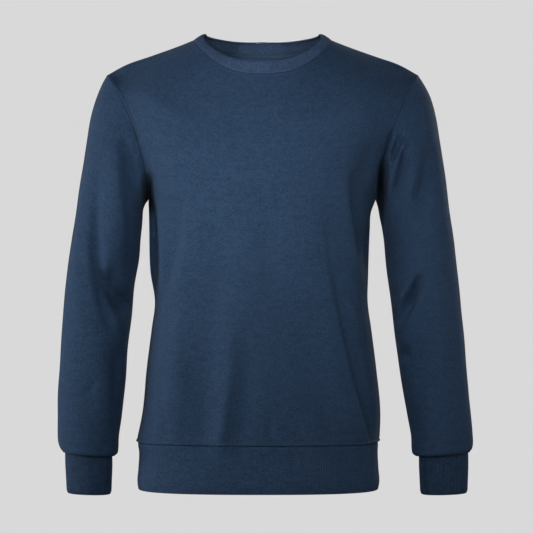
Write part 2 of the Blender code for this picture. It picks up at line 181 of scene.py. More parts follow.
# %% [markdown]
# ## Rows across the body
# Seen from above, a filled-out garment is a rounded box. So each row of cloth is a stretch of a
# superellipse, an oval whose corners one number fills out, and the armhole is drawn in the same spirit,
# from the shoulder point round to the armpit. Rows could also be traced by hand, but then a change of one
# girth would mean drawing them all again.


# %% Rows of points across the body
def side_x(side):
    """The name of the side seam table's column for a side."""
    return "left_x" if side == LEFT else "right_x"


def armhole(turn, side, face):
    """Points of the armhole. turn is 0 at the shoulder point and 180 at the armpit."""
    top = np.array([SHOULDER["x"][0], SHOULDER["z"][0]]) * MM
    pit = np.array([SIDE[side_x(side)][-1], SIDE["z"][-1]]) * MM
    height = (1 + np.cos(np.radians(turn))) / 2
    swell = np.abs(np.sin(np.radians(turn))) ** ARMHOLE_ROUND
    x = pit[0] + (top[0] - pit[0]) * height ** np.where(face == FRONT, FRONT_SCOOP[side], BACK_SCOOP)
    z = pit[1] + (top[1] - pit[1]) * height
    return np.stack([side * x, SEAM_Y + face * ARMHOLE_DEPTH * swell, z], axis=-1)


def panel_edge(level, side, face):
    """Where a body row ends: on the side seam, the armhole or the shoulder seam."""
    if level <= 1:
        return np.array([side * read(SIDE, side_x(side), level) * MM, SEAM_Y, read(SIDE, "z", level) * MM])
    if level < 2:
        return armhole(180 * (2 - level), side, face)
    x, z = (read(SHOULDER, c, level) * MM for c in "xz")
    return np.array([side * x, SEAM_Y, z])


def half_row(level, side, face):
    """A row from the centre line to its edge: a stretch of a superellipse, seen from above."""
    name = "front" if face == FRONT else "back"
    y0, z0, power, rise = (read(CENTRE, c, level) for c in (f"{name}_y", f"{name}_z", "square", "rise"))
    edge = panel_edge(level, side, face)
    depth = y0 * MM - SEAM_Y
    last = math.acos(min(max((edge[1] - SEAM_Y) / depth, 0), 1) ** (1 / power))
    turn = np.linspace(0, last, HALF_ROW_STEPS + 1)
    climb = np.sin(turn / last * math.pi / 2) ** rise
    x = edge[0] * (np.sin(turn) / math.sin(last)) ** power
    y = SEAM_Y + depth * np.cos(turn) ** power
    return np.stack([x, y, z0 * MM + (edge[2] - z0 * MM) * climb], axis=1)


def lengths(line):
    """The distance of each point from the first one, along the line."""
    return np.concatenate([[0], np.cumsum(np.linalg.norm(np.diff(line, axis=0), axis=1))])


def panel_row(level, face):
    """A whole row of the front or the back, from the wearer's right to the left, in even steps."""
    right, left = (half_row(level, side, face) for side in (RIGHT, LEFT))
    line = np.concatenate([right[::-1], left[1:]])
    along = lengths(line)
    at = np.linspace(0, along[-1], PANEL_COLUMNS + 1)
    return np.stack([np.interp(at, along, line[:, k]) for k in range(3)], axis=1)


girth = sum(lengths(panel_row(0, face))[-1] for face in (FRONT, BACK))
print(f"hem seam: {girth:.3f} m all round")


# %% Ease the rows where they crowd
def relaxed(grid, reach=95 * MM, times=48):
    """Eases a panel round its shoulder points, where its rows crowd into the corner; the edges stay put."""
    corners = [panel_edge(2.0, side, FRONT) for side in (RIGHT, LEFT)]
    far = np.min([np.linalg.norm(grid - c, axis=2) for c in corners], axis=0)
    ease = np.exp(-((far / reach) ** 2))[1:-1, 1:-1, None]
    for _ in range(times):
        mean = (grid[:-2, 1:-1] + grid[2:, 1:-1] + grid[1:-1, :-2] + grid[1:-1, 2:]) / 4
        grid[1:-1, 1:-1] += (mean - grid[1:-1, 1:-1]) * ease
    return grid


def eased(grid, level=1.0, reach=0.16, columns=3, times=12):
    """Evens out the rows beside the armpits, where side seam turns into armhole; the edges stay put."""
    near = np.exp(-(((BODY_LEVELS - level) / reach) ** 2))[1:-1, None]
    column = np.arange(PANEL_COLUMNS + 1)
    inside = 1 - np.exp(-((np.minimum(column, column[::-1]) / columns) ** 2))[1:-1]
    ease = (near * inside)[:, :, None]
    for _ in range(times):
        grid[1:-1, 1:-1] += ((grid[:-2, 1:-1] + grid[2:, 1:-1]) / 2 - grid[1:-1, 1:-1]) * ease
    return grid


plain = np.array([panel_row(level, FRONT) for level in BODY_LEVELS])
moved = np.abs(eased(relaxed(plain.copy())) - plain).max()
print(f"easing moves the front by up to {moved / MM:.0f} mm")

# %% [markdown]
# ## From a coarse net to fine cloth
# A coarse net of about 2,000 points holds each panel's shape. Cloth needs a much finer one: soft folds
# want a point every few millimetres, and a seam wants several within its own width. A Subdivision Surface
# modifier would add points evenly all over. Here the net is read again through smooth curves instead, a
# cell apart in the open and much closer beside each seam.

# %% Fine nets of points
CELL = 3.4 * MM
SEAM_STEPS = np.array([0, 0.5, 1.0, 1.6, 2.3, 3.0, 3.7, 4.4, 5.2, 6.2, 7.6, 9.6]) * MM


def graded(length, cells):
    """Distances from 0 to length: close together beside both ends, and even between them."""
    middle = np.linspace(SEAM_STEPS[-1], length - SEAM_STEPS[-1], cells + 1)[1:-1]
    return np.concatenate([SEAM_STEPS, middle, length - SEAM_STEPS[::-1]])


def unit(v):
    """Directions of length 1."""
    return v / np.maximum(np.linalg.norm(v, axis=-1, keepdims=True), 1e-12)


def normals(grid, around=False, flip=False):
    """Unit normals of a grid of points; around says that the last column meets the first."""
    wide = np.concatenate([grid[:, -1:], grid, grid[:, :1]], axis=1) if around else grid
    across = np.gradient(wide, axis=1)
    if around:
        across = across[:, 1:-1]
    n = unit(np.cross(across, np.gradient(grid, axis=0)))
    return -n if flip else n


def seam_rows():
    """The levels of the fine rows. Panels and sleeves all use them, so their edges share every point."""
    middle = lengths(np.array([panel_row(level, FRONT)[PANEL_COLUMNS // 2] for level in BODY_LEVELS]))
    levels = smooth(graded(middle[-1], int(middle[-1] / CELL)), middle, BODY_LEVELS)
    for corner in (1, 2):
        levels[np.argmin(np.abs(levels - corner))] = corner
    return levels


# %% The rows that every panel shares
LEVELS = seam_rows()
ARM = (LEVELS >= 1) & (LEVELS <= 2)
HALF_TURNS = 180 * (2 - LEVELS[ARM][::-1])
TURNS = np.concatenate([HALF_TURNS[:-1], 360 - HALF_TURNS[::-1][:-1]])
print("fine rows:", len(LEVELS), "of which", ARM.sum(), "end on the armhole")

# %% The fine net of the front or back
EDGE_REACH = 20 * MM


def panel_net(face):
    """The fine net of the front or back, before folds and seams."""
    coarse = eased(relaxed(np.array([panel_row(level, face) for level in BODY_LEVELS])))
    widest = max(lengths(row)[-1] for row in coarse)
    net = []
    for row in smooth(LEVELS, BODY_LEVELS, coarse):
        width = lengths(row)[-1]
        at = graded(width, int(widest / CELL)) / width * PANEL_COLUMNS
        net.append(smooth(at, np.arange(PANEL_COLUMNS + 1), row))
    net = np.array(net)
    for column, side in ((0, RIGHT), (-1, LEFT)):
        edge = np.array([panel_edge(level, side, face) for level in LEVELS])
        away = np.linalg.norm(net - net[:, column : column + 1 or None], axis=2)
        net += (edge - net[:, column])[:, None] * np.exp(-((away / EDGE_REACH) ** 2))[:, :, None]
    return net


# %% [markdown]
# ## Folds and seams as heights
# A fold in a filled-out sweatshirt is a soft trough or ridge, a few millimetres deep and a hand's length
# long. A seam is a narrow groove with a puffed lip, because the layers turned inside lift the cloth
# beside it, and the stitches pull it down again. Brushes could carve both, but here each is a height
# along the cloth's normal, worked out from a distance: the distance to the fold's line, or to the seam's.
# That keeps each of them one row in a table.


# %% The height of a fold
FOLD_POINTS = 13
FOLD_SPREAD = 0.6


def distance_to(points, line, closed=False):
    """For each point: its distance to a line, the nearest place along it from 0 to 1, and its side of it."""
    flat = points.reshape(-1, line.shape[1])
    gap, place, side = (np.full(len(flat), value) for value in (np.inf, 0.0, 0.0))
    ends = np.concatenate([line, line[:1]]) if closed else line
    along = lengths(ends)
    for a, b, start in zip(ends[:-1], ends[1:], along):
        step, away = b - a, flat - a
        size = max(np.linalg.norm(step), 1e-12)
        t = np.clip(away @ step / size**2, 0, 1)
        d = np.linalg.norm(away - t[:, None] * step, axis=1)
        near = d < gap
        gap[near], place[near] = d[near], (start + t * size)[near]
        side[near] = (step[0] * away[:, 1] - step[1] * away[:, 0])[near]
    return [values.reshape(points.shape[:-1]) for values in (gap, place / along[-1], side)]


def fold(points, line, left, right, depth, peak, crisp):
    """A fold along a line that runs down the cloth, seen from the front.

    left and right are how far it reaches on either side, and peak says where along the line it is deepest.
    With crisp 2 it is soft all the way across, and with 4 it has a flat floor between steep walls.
    """
    curve = smooth(np.linspace(0, len(line) - 1, FOLD_POINTS), np.arange(len(line)), np.array(line, float))
    gap, place, side = distance_to(points, curve)
    rise, fall = np.clip(place / peak, 0, 1), np.clip((1 - place) / (1 - peak), 0, 1)
    reach = FOLD_SPREAD * np.where(side < 0, left, right)
    across = np.exp(-((gap / reach) ** crisp))
    return depth * np.sin(np.pi / 2 * rise) * np.sin(np.pi / 2 * fall) * across


def all_folds(rows, points, crisp=2, **chosen):
    """The height of all the folds of a table whose named columns hold the chosen values."""
    height = np.zeros(points.shape[:2])
    seen = points[:, :, [0, 2]] / MM
    for row in zip(*rows.values()):
        row = dict(zip(rows, row))
        if all(row[name] == value for name, value in chosen.items()):
            line = [(row[f"x{k}"], row[f"z{k}"]) for k in range(3)]
            height += fold(seen, line, row["left"], row["right"], row["depth"], row["peak"], crisp)
    return height * MM


middle = fold(np.zeros((1, 2)), [(0, 9), (0, 0), (0, -9)], left=5, right=5, depth=-6, peak=0.5, crisp=2)
print("a fold 6 mm deep, measured in its middle:", middle[0], "mm")

# %% The height of a seam
PLAIN, HEM = 0, 1
SEAMS = table(
    "kind groove groove_width lip lip_at lip_width stitch_at stitch_dip stitch_width",
    (PLAIN, 1.5, 1.1, 0.8, 2.6, 1.3, 4.9, 0.35, 0.9),
    (HEM, 1.9, 0.7, 1.3, 1.3, 1.4, 5.2, 0.35, 0.9),
)


def seam(gap, share=1.0, groove=1.0, kind=PLAIN):
    """The height of the cloth beside a seam: a groove, a puffed lip, and a dip under the stitches."""
    s = {name: column[kind] for name, column in SEAMS.items()}
    d = gap / MM
    height = -groove * s["groove"] * np.exp(-((d / s["groove_width"]) ** 2))
    height += share * s["lip"] * np.exp(-(((d - s["lip_at"]) / s["lip_width"]) ** 2))
    height -= share * s["stitch_dip"] * np.exp(-(((d - s["stitch_at"]) / s["stitch_width"]) ** 2))
    return height * MM


def unevenness(points, size, height):
    """Slow, slight waves, so that no stretch of cloth is perfectly smooth."""
    flat = points.reshape(-1, 3)
    waves = np.array([noise.noise(Vector(p / size)) for p in flat])
    return waves.reshape(points.shape[:-1]) * height


deepest = seam(np.linspace(0, 10 * MM, 101)).min()
print(f"a plain seam sinks {-deepest / MM:.1f} mm into the cloth")

# %% [markdown]
# ## One way to make every piece
# Each piece is one closed wall, as cloth is. A Solidify modifier could give a thin sheet its thickness.
# Here the wall's points are made directly, because the rows of thread are set out on them later. A mesh
# is put together from patches: a patch is a grid of point numbers with the place of each point in the
# flat cloth, in metres. Those flat places are stored as a UV map named cloth, and the knit is drawn in
# them, so the stitches run straight up the cloth wherever it bends.


# %% Meshes from patches
def quads(grid):
    """The four corners of every cell of a grid."""
    return np.stack([grid[:-1, :-1], grid[:-1, 1:], grid[1:, 1:], grid[1:, :-1]], axis=2)


def wrap(grid):
    """A grid closed into a tube: its first column again after its last."""
    return np.concatenate([grid, grid[:, :1]], axis=1)


def flat_places(net, around=False):
    """Where each point lies in the flat cloth: across and along, in metres from the middle column's foot."""
    wide = wrap(net) if around else net
    across = np.concatenate([[lengths(row)] for row in wide])
    if not around:
        across = across - across[:, across.shape[1] // 2, None]
    steps = np.linalg.norm(np.diff(wide, axis=0), axis=2).mean(axis=1)
    along = np.concatenate([[0], np.cumsum(steps)])
    return np.stack([across, np.broadcast_to(along[:, None], across.shape)], axis=2)


def make_piece(name, points, patches, materials):
    """A mesh of patches, each (point numbers, flat places, material number), its normals turned outwards."""
    faces = np.concatenate([quads(index).reshape(-1, 4) for index, _, _ in patches])
    places = np.concatenate([quads(flat).reshape(-1, 2) for _, flat, _ in patches])
    which = np.concatenate([np.full(quads(index).shape[:2], m).ravel() for index, _, m in patches])
    mesh = bpy.data.meshes.new(name)
    mesh.from_pydata(points.reshape(-1, 3).tolist(), [], faces.tolist())
    mesh.uv_layers.new(name="cloth").data.foreach_set("uv", places.ravel())
    mesh.polygons.foreach_set("material_index", which)
    solid = bmesh.new()
    solid.from_mesh(mesh)
    bmesh.ops.recalc_face_normals(solid, faces=solid.faces)
    solid.to_mesh(mesh)
    solid.free()
    mesh.shade_smooth()
    for material in materials:
        mesh.materials.append(material)
    piece = bpy.data.objects.new(name, mesh)
    scene.collection.objects.link(piece)
    print(f"{name}: {len(faces) * 2:,} triangles")
    return piece


def wall_patches(outer, around=False):
    """The patches of a wall whose inner points follow its outer ones, and its rims."""
    flat = flat_places(outer, around)
    front = np.arange(outer.shape[0] * outer.shape[1]).reshape(outer.shape[:2])
    back = front + front.size
    if around:
        front, back = wrap(front), wrap(back)
    patches = [(front, flat, 0), (back, flat, 1)]
    edges = [np.s_[:1, :], np.s_[-1:, :]] + ([] if around else [np.s_[:, :1], np.s_[:, -1:]])
    for edge in edges:
        rim = [grid[edge].ravel() for grid in (front, back)]
        where = flat[edge].reshape(-1, 2)
        patches.append((np.array(rim), np.array([where, where]), 0))
    return patches


print("a flat wall takes", len(wall_patches(np.zeros((2, 2, 3)))), "patches")

# %% [markdown]
# ## Writing shader nodes
# Fleece, rib and tape share the same yarn, so what they share is built once, as node groups. A group is a
# small machine with named inputs and outputs: it goes into each material with that material's own values.
# Nodes are usually wired by hand in the shader editor. In a script, two short helpers let a formula read
# from top to bottom.


# %% A short way to write shader nodes
class Nodes:
    """Adds nodes to a tree and links them, so that a formula reads from top to bottom."""

    def __init__(self, tree):
        self.tree = tree

    def add(self, kind, inputs=(), **settings):
        """A new node, with its settings and then its inputs filled in."""
        node = self.tree.nodes.new("ShaderNode" + kind)
        for name, value in settings.items():
            setattr(node, name, value)
        for key, value in dict(inputs).items():
            self.set(node.inputs[key], value)
        return node

    def set(self, socket, value):
        """Fills a socket: another socket is linked to it, and a number or colour is set on it."""
        if isinstance(value, bpy.types.NodeSocket):
            self.tree.links.new(value, socket)
        else:
            socket.default_value = value

    def math(self, operation, a, b=0.0, c=0.0):
        """The result of one Math node."""
        return self.add("Math", {0: a, 1: b, 2: c}, operation=operation).outputs[0]


def new_group(name, inputs, outputs):
    """An empty shader group with named sockets. Returns it, its nodes, inputs and outputs."""
    group = bpy.data.node_groups.new(name, "ShaderNodeTree")
    for label, kind, value in inputs:
        socket = group.interface.new_socket(label, in_out="INPUT", socket_type="NodeSocket" + kind)
        if value is not None:
            socket.default_value = value
    for label, kind in outputs:
        group.interface.new_socket(label, in_out="OUTPUT", socket_type="NodeSocket" + kind)
    nodes = Nodes(group)
    return group, nodes, group.nodes.new("NodeGroupInput").outputs, group.nodes.new("NodeGroupOutput").inputs


# %% [markdown]
# ## The knit
# The face of a sweatshirt shows columns of small V-shaped stitches, about one millimetre wide. Real yarn
# could be modelled loop by loop, but a garment has about a million stitches. So the V is drawn as a
# height in the flat cloth, and later bends the light through a Bump node. Across a column, two ridges
# stand beside the middle, and each row of loops climbs from the middle to both sides.

# %% The knit group
knit_group, n, given, result = new_group(
    "knit stitches",
    [("Flat place", "Vector", None), ("Wale mm", "Float", 1.0), ("Course mm", "Float", 0.8)],
    [("Height", "Float")],
)
LEG_ROUND = 0.7
flat = n.add("SeparateXYZ", {0: given["Flat place"]}).outputs
column = n.math("DIVIDE", n.math("DIVIDE", flat[0], MM), given["Wale mm"])
from_middle = n.math("ABSOLUTE", n.math("SUBTRACT", n.math("FRACT", column), 0.5))
ridge_gap = n.math("ABSOLUTE", n.math("MULTIPLY_ADD", from_middle, 4.0, -1.0))
leg = n.math("POWER", n.math("SUBTRACT", 1.0, ridge_gap), LEG_ROUND)
row = n.math("ADD", n.math("DIVIDE", n.math("DIVIDE", flat[1], MM), given["Course mm"]), from_middle)
loop = n.math("MULTIPLY_ADD", n.math("SINE", n.math("MULTIPLY", row, 2 * math.pi)), 0.5, 0.5)
n.set(result["Height"], n.math("MULTIPLY", leg, n.math("MULTIPLY_ADD", loop, 0.5, 0.5)))
print("group:", knit_group.name)

# %% [markdown]
# ## The dye
# Fleece takes dye unevenly: thin streaks run across it where the yarn is thicker, and slow pale patches
# lie under them. A painted texture could show that, but only for one size of cloth. Noise does it
# anywhere. Each noise is squeezed by its own two numbers, in waves to the metre across and along the
# cloth. Three noises add up to the mottled face, and a fourth makes the patches.


# %% The dye group
def noise_over(nodes, place, across, along, detail, rough=0.5):
    """Noise in the flat cloth, with so many waves to the metre across it and along it."""
    squeezed = nodes.add("VectorMath", {0: place, 1: (across, along, 1.0)}, operation="MULTIPLY").outputs[0]
    look = {"Vector": squeezed, "Scale": 1.0, "Detail": detail, "Roughness": rough}
    return nodes.add("TexNoise", look).outputs["Fac"]


dye_group, n, given, result = new_group(
    "uneven dye",
    [
        ("Flat place", "Vector", None),
        ("Colour", "Color", (1, 1, 1, 1)),
        ("Streaks", "Float", 0.1),
        ("Patches", "Float", 0.1),
    ],
    [("Colour", "Color"), ("Thickness", "Float")],
)
MOTTLE_SHARE = 0.6
MOTTLE_MEAN = 0.5 * (1 + 2 * MOTTLE_SHARE)
streak = noise_over(n, given["Flat place"], 230.0, 560.0, detail=2.0)
speck = noise_over(n, given["Flat place"], 300.0, 300.0, detail=3.0)
cloud = noise_over(n, given["Flat place"], 75.0, 115.0, detail=2.0, rough=0.7)
patch = noise_over(n, given["Flat place"], 16.0, 22.0, detail=5.0, rough=0.72)
mottle = n.math("MULTIPLY_ADD", cloud, MOTTLE_SHARE, n.math("MULTIPLY_ADD", speck, MOTTLE_SHARE, streak))
streaked = n.math("MULTIPLY", n.math("SUBTRACT", mottle, MOTTLE_MEAN), given["Streaks"])
patched = n.math("MULTIPLY", n.math("SUBTRACT", patch, 0.5), given["Patches"])
lift = n.math("ADD", n.math("ADD", streaked, patched), 1.0)
n.set(result["Colour"], n.add("VectorMath", {0: given["Colour"], 3: lift}, operation="SCALE").outputs[0])
n.set(result["Thickness"], streak)
print("group:", dye_group.name)

# %% [markdown]
# ## Painted shade in deep folds
# In the deepest folds hardly any light gets out. A fold as deep as a real one would meet the far side of a
# garment with nobody in it, so the form stays shallow enough, and a mask paints the missing shade into the
# colour: it fades from the fold's middle outwards within its reach. Four masks sit in the armpit pockets
# and the sleeves' deepest creases, and a milder fifth paints shade over a broad stretch of the wearer's left
# sleeve. The group gives only the mask, and each material multiplies it in. Places and reaches are in metres.

# %% The painted fold shade group
painted_shade_group, n, given, result = new_group(
    "painted fold shade",
    [*((label, "Vector", None) for label in ("Place", "Middle", "Reach")), ("Depth", "Float", 0.3)],
    [("Shade", "Float")],
)
FOLD_CORE, FOLD_RIM = 0.4, 1.2
away = n.add("VectorMath", {0: given["Place"], 1: given["Middle"]}, operation="SUBTRACT").outputs[0]
scaled = n.add("VectorMath", {0: away, 1: given["Reach"]}, operation="DIVIDE").outputs[0]
far = n.add("VectorMath", {0: scaled}, operation="LENGTH").outputs["Value"]
ramp = {0: far, 1: FOLD_CORE, 2: FOLD_RIM, 3: given["Depth"], 4: 1.0}
n.set(result["Shade"], n.add("MapRange", ramp, interpolation_type="SMOOTHSTEP").outputs[0])

# Painted shade, one row for each mask: depth is the share of the colour that is left in its middle.
PAINTED_FOLD_SHADE = table(
    "x y z reach_x reach_y reach_z depth",
    (-0.1745, -0.02, -0.246, 0.0105, 0.07, 0.030, 0.1),
    (0.182, -0.02, -0.238, 0.0085, 0.07, 0.054, 0.1),
    (-0.220, -0.05, -0.398, 0.019, 0.07, 0.026, 0.57),
    (0.200, -0.06, -0.384, 0.010, 0.05, 0.015, 0.62),
    (0.204, -0.05, -0.325, 0.024, 0.07, 0.062, 0.85),
)
print("group:", painted_shade_group.name, "for", len(PAINTED_FOLD_SHADE["x"]), "folds")

# %% [markdown]
# ## The cloths
# Fleece and rib are matt: short hairs scatter the light, so the surface has no highlight, only a faint
# pale sheen. Particle hair could give that fuzz at a great cost in time. Here a fine noise joins the knit
# in one Bump node, and the shader's own sheen does the rest. Hairs on a face turned edge-on shade one
# another, so an outline looks darker than the cloth inside it, and that shade is painted into the base
# colour: Layer Weight knows how far a face is turned, and edge says how dark it gets. The painted shade of
# the deep folds is multiplied in as well. One function makes all eight cloths from the same yarn, each
# with its own values.


# %% One way to make a cloth's material
EDGE_FROM, EDGE_TO = 0.72, 0.97
HAIR_WAVES = 900.0
HAIR_HEIGHT = 0.35
YARN_HEIGHT = 0.8
HAIR_POLISH = 0.12
GLOSS = 0.2
SHEEN = 0.08


def cloth_material(name, colour, wale, course, relief, streaks, patches, rough=0.88, fuzz=0.0, edge=0.5):
    """A matt knitted cloth. The stitches' size and the bump's relief are in millimetres."""
    material = bpy.data.materials.new(name)
    material.use_nodes = True
    n = Nodes(material.node_tree)
    shader = material.node_tree.nodes["Principled BSDF"]
    flat = n.add("UVMap", uv_map="cloth").outputs["UV"]
    where = n.add("TexCoord").outputs["Object"]
    own = {"Flat place": flat, "Colour": (*colour, 1), "Streaks": streaks, "Patches": patches}
    dye = n.add("Group", own, node_tree=dye_group).outputs
    own = {"Flat place": flat, "Wale mm": wale, "Course mm": course}
    knit = n.add("Group", own, node_tree=knit_group).outputs
    look = {"Vector": where, "Scale": HAIR_WAVES, "Detail": 4.0, "Roughness": 0.7}
    hairs = n.add("TexNoise", look).outputs["Fac"]
    height = n.math("MULTIPLY_ADD", hairs, HAIR_HEIGHT + fuzz, knit["Height"])
    height = n.math("MULTIPLY_ADD", dye["Thickness"], YARN_HEIGHT, height)
    bump = n.add("Bump", {"Height": height, "Distance": relief * MM, "Strength": 1.0})
    # Painted shade: the base colour darkens towards the outlines, down to edge of its own value, and the
    # gloss and sheen dim with it.
    turned = n.add("LayerWeight", {"Blend": 0.5}).outputs["Facing"]
    ramp = {0: turned, 1: EDGE_FROM, 2: EDGE_TO, 3: 1.0, 4: edge}
    outline = n.add("MapRange", ramp, interpolation_type="SMOOTHSTEP").outputs[0]
    shade = outline
    # Painted shade in the deep folds, multiplied into the colour.
    for x, y, z, reach_x, reach_y, reach_z, depth in zip(*PAINTED_FOLD_SHADE.values()):
        own = {"Place": where, "Middle": (x, y, z), "Reach": (reach_x, reach_y, reach_z), "Depth": depth}
        shade = n.math("MULTIPLY", shade, n.add("Group", own, node_tree=painted_shade_group).outputs["Shade"])
    dyed = n.add("VectorMath", {0: dye["Colour"], 3: shade}, operation="SCALE").outputs[0]
    n.set(shader.inputs["Base Color"], dyed)
    n.set(shader.inputs["Roughness"], n.math("MULTIPLY_ADD", hairs, -HAIR_POLISH, rough + HAIR_POLISH / 2))
    n.set(shader.inputs["Normal"], bump.outputs["Normal"])
    n.set(shader.inputs["Specular IOR Level"], n.math("MULTIPLY", outline, GLOSS))
    n.set(shader.inputs["Sheen Weight"], n.math("MULTIPLY", outline, SHEEN))
    n.set(shader.inputs["Sheen Roughness"], 0.45)
    n.set(shader.inputs["Sheen Tint"], (0.55, 0.7, 1.0, 1))
    return material


# %% The cloths' colours and knits
FACE_KNIT = {"wale": 1.05, "course": 0.85, "relief": 0.12, "streaks": 1.05, "patches": 0.35}
CUFF_KNIT = {**FACE_KNIT, "streaks": 1.2}
COLLAR_KNIT = {**FACE_KNIT, "streaks": 1.2, "patches": 0.2}
INSIDE_KNIT = {"wale": 1.4, "course": 1.0, "relief": 0.2, "streaks": 0.3, "patches": 0.2}
TAPE_TWILL = {"wale": 0.7, "course": 0.7, "relief": 0.15, "streaks": 0.2, "patches": 0.05}
THREAD_TWIST = {"wale": 0.3, "course": 0.3, "relief": 0.05, "streaks": 0.1, "patches": 0.05}
NAVY = (0.0268, 0.0590, 0.1180)
INSIDE_NAVY = tuple(1.35 * c for c in NAVY)
# The cuffs are the same rib as the hem band, but their colour is darker and their outlines darken more:
# painted shade for cuffs that sit low, under the sleeves' ends.
SHADED_CUFF_NAVY = tuple(0.8 * c for c in NAVY)
COLLAR_NAVY = (0.0485, 0.0885, 0.171)
TAPE_NAVY = (0.048, 0.085, 0.15)
THREAD_NAVY = (0.04, 0.075, 0.135)
face_cloth = cloth_material("fleece face", NAVY, **FACE_KNIT, edge=0.65)
sleeve_cloth = cloth_material("sleeve fleece face", NAVY, **FACE_KNIT)
back_cloth = cloth_material("fleece inside", INSIDE_NAVY, **INSIDE_KNIT, rough=0.95, fuzz=0.8)
rib_cloth = cloth_material("rib knit", NAVY, **FACE_KNIT, edge=0.95)
shaded_cuff_cloth = cloth_material("cuff rib knit, painted shade", SHADED_CUFF_NAVY, **CUFF_KNIT, edge=0.25)
collar_cloth = cloth_material("collar rib knit", COLLAR_NAVY, **COLLAR_KNIT)
tape_cloth = cloth_material("twill tape", TAPE_NAVY, **TAPE_TWILL)
thread_cloth = cloth_material("sewing thread", THREAD_NAVY, **THREAD_TWIST, rough=0.6)
print("materials:", ", ".join(material.name for material in bpy.data.materials))

# %% [markdown]
# ## The front and the back
# Three kinds of form are pressed into the smooth panels. A tuck is where the sleeve pulls the cloth in
# beside the armpit: it moves the body and the sleeve together, so their shared seam goes with it. A
# pocket is the narrow deep hollow between the body and the sleeve. A fold is shallower and stays inside
# one panel. The front's folds hang from the armpits and gather towards the hem band, which holds the
# cloth in, and the back has folds of the same kind. Sculpting them would be quicker for the first try and
# slower for every change after it. Here each row is a line through three places, from top to bottom.

# %% The tucks and the folds of the body, in millimetres
FOLD_COLUMNS = "x0 z0 x1 z1 x2 z2 left right depth peak"
TUCKS = table(
    "face " + FOLD_COLUMNS,
    (FRONT, 190, -138, 178, -205, 172, -300, 38, 10, -13, 0.5),
    (BACK, 200, -116, 184, -196, 173, -290, 26, 28, -20, 0.5),
    (BACK, -200, -122, -184, -190, -172, -290, 28, 26, -22, 0.5),
)
POCKETS = table(
    "face " + FOLD_COLUMNS,
    (FRONT, 195, -138, 188, -166, 183, -200, 5, 5, -8, 0.6),
    (FRONT, 184, -182, 182, -230, 184, -325, 9, 9, -100, 0.5),
    (FRONT, -173, -206, -174, -250, -174, -318, 12, 10, -100, 0.55),
)
BODY_FOLDS = table(
    "face " + FOLD_COLUMNS,
    (FRONT, -60, -262, -79, -452, -97, -655, 54, 40, -8.5, 0.85),
    (FRONT, -114, -339, -128, -458, -133, -592, 34, 24, 4, 0.7),
    (FRONT, -22, -425, -25, -535, -42, -650, 32, 26, -5.5, 0.85),
    (FRONT, -42, -440, -54, -548, -70, -650, 17, 17, 3.5, 0.8),
    (FRONT, 86, -280, 115, -452, 172, -670, 50, 7, 9, 0.7),
    (FRONT, 94, -280, 124, -452, 181, -670, 7, 26, -6, 0.65),
    (FRONT, 124, -345, 144, -450, 165, -555, 16, 7, 2, 0.5),
    (FRONT, 135, -205, 146, -290, 160, -375, 11, 30, -17, 0.4),
    (FRONT, 122, -215, 133, -295, 153, -384, 34, 7, 5, 0.5),
    (FRONT, -121, -234, -131, -324, -164, -426, 22, 14, -6, 0.6),
    (FRONT, -170, -238, -168, -320, -170, -404, 20, 13, -13, 0.5),
    (FRONT, -166, -236, -153, -332, -160, -406, 7, 14, 4, 0.5),
    (FRONT, 166, -150, 160, -196, 150, -240, 30, 14, -7, 0.5),
    (FRONT, 10, -235, 7, -324, 14, -421, 28, 30, -2, 0.5),
    (FRONT, -148, -153, -135, -205, -120, -257, 30, 50, 3, 0.6),
    (FRONT, 14, -560, 12, -585, 11, -610, 9, 9, -1.4, 0.8),
    (FRONT, 52, -566, 50, -590, 50, -610, 10, 8, -1.2, 0.8),
    (FRONT, 92, -556, 94, -584, 97, -610, 8, 11, -1.4, 0.8),
    (FRONT, -150, -560, -148, -585, -146, -610, 9, 9, -1.3, 0.8),
    (BACK, 136, -262, 128, -372, 112, -500, 24, 30, -12.8, 0.4),
    (BACK, -134, -250, -122, -352, -96, -470, 32, 18, -12.8, 0.4),
    (BACK, -156, -300, -146, -380, -128, -470, 12, 14, 4.8, 0.5),
    (BACK, 40, -362, 56, -485, 74, -604, 24, 28, -9.6, 0.75),
    (BACK, -16, -380, -22, -495, -30, -606, 26, 22, 6.4, 0.7),
    (BACK, -60, -400, -75, -505, -92, -604, 22, 24, -9.6, 0.8),
    (BACK, 96, -420, 112, -510, 130, -604, 22, 18, 6.4, 0.7),
    (BACK, 0, -470, 4, -545, 8, -608, 15, 17, -6.4, 0.85),
    (BACK, -120, -470, -136, -540, -150, -606, 10, 26, -6.4, 0.7),
    (BACK, 88, -150, 60, -196, 20, -238, 30, 26, -4.8, 0.5),
    (BACK, -92, -146, -64, -190, -22, -226, 26, 30, -4.8, 0.5),
)
FLEECE = 1.8 * MM
TUCK_DEPTH = 50 * MM
POCKET_ROOM = 0.85


def tucked(points):
    """Points pushed in by the tucks and pockets, those nearer the side seam than TUCK_DEPTH less."""
    moved = points.copy()
    for face in (FRONT, BACK):
        share = np.clip(face * (points[:, :, 1] - SEAM_Y) / TUCK_DEPTH, 0, 1)
        moved[:, :, 1] += face * share * all_folds(TUCKS, points, face=face)
        # A pocket stops short of the side seam's plane, so its floor never meets the far side of the garment.
        room = POCKET_ROOM * np.clip(face * (moved[:, :, 1] - SEAM_Y), 1e-6, None)
        pocket = share * all_folds(POCKETS, points, crisp=4, face=face)
        moved[:, :, 1] += face * room * np.tanh(pocket / room)
    return moved


def edge_fade(gap, reach=9 * MM):
    """0 on a seam and 1 well inside, so that folds leave the seams where they are."""
    return 1 - np.exp(-((gap / reach) ** 2))


for what, rows in (("tucks", TUCKS), ("pockets", POCKETS), ("folds", BODY_FOLDS)):
    print("body:", len(rows["depth"]), what)

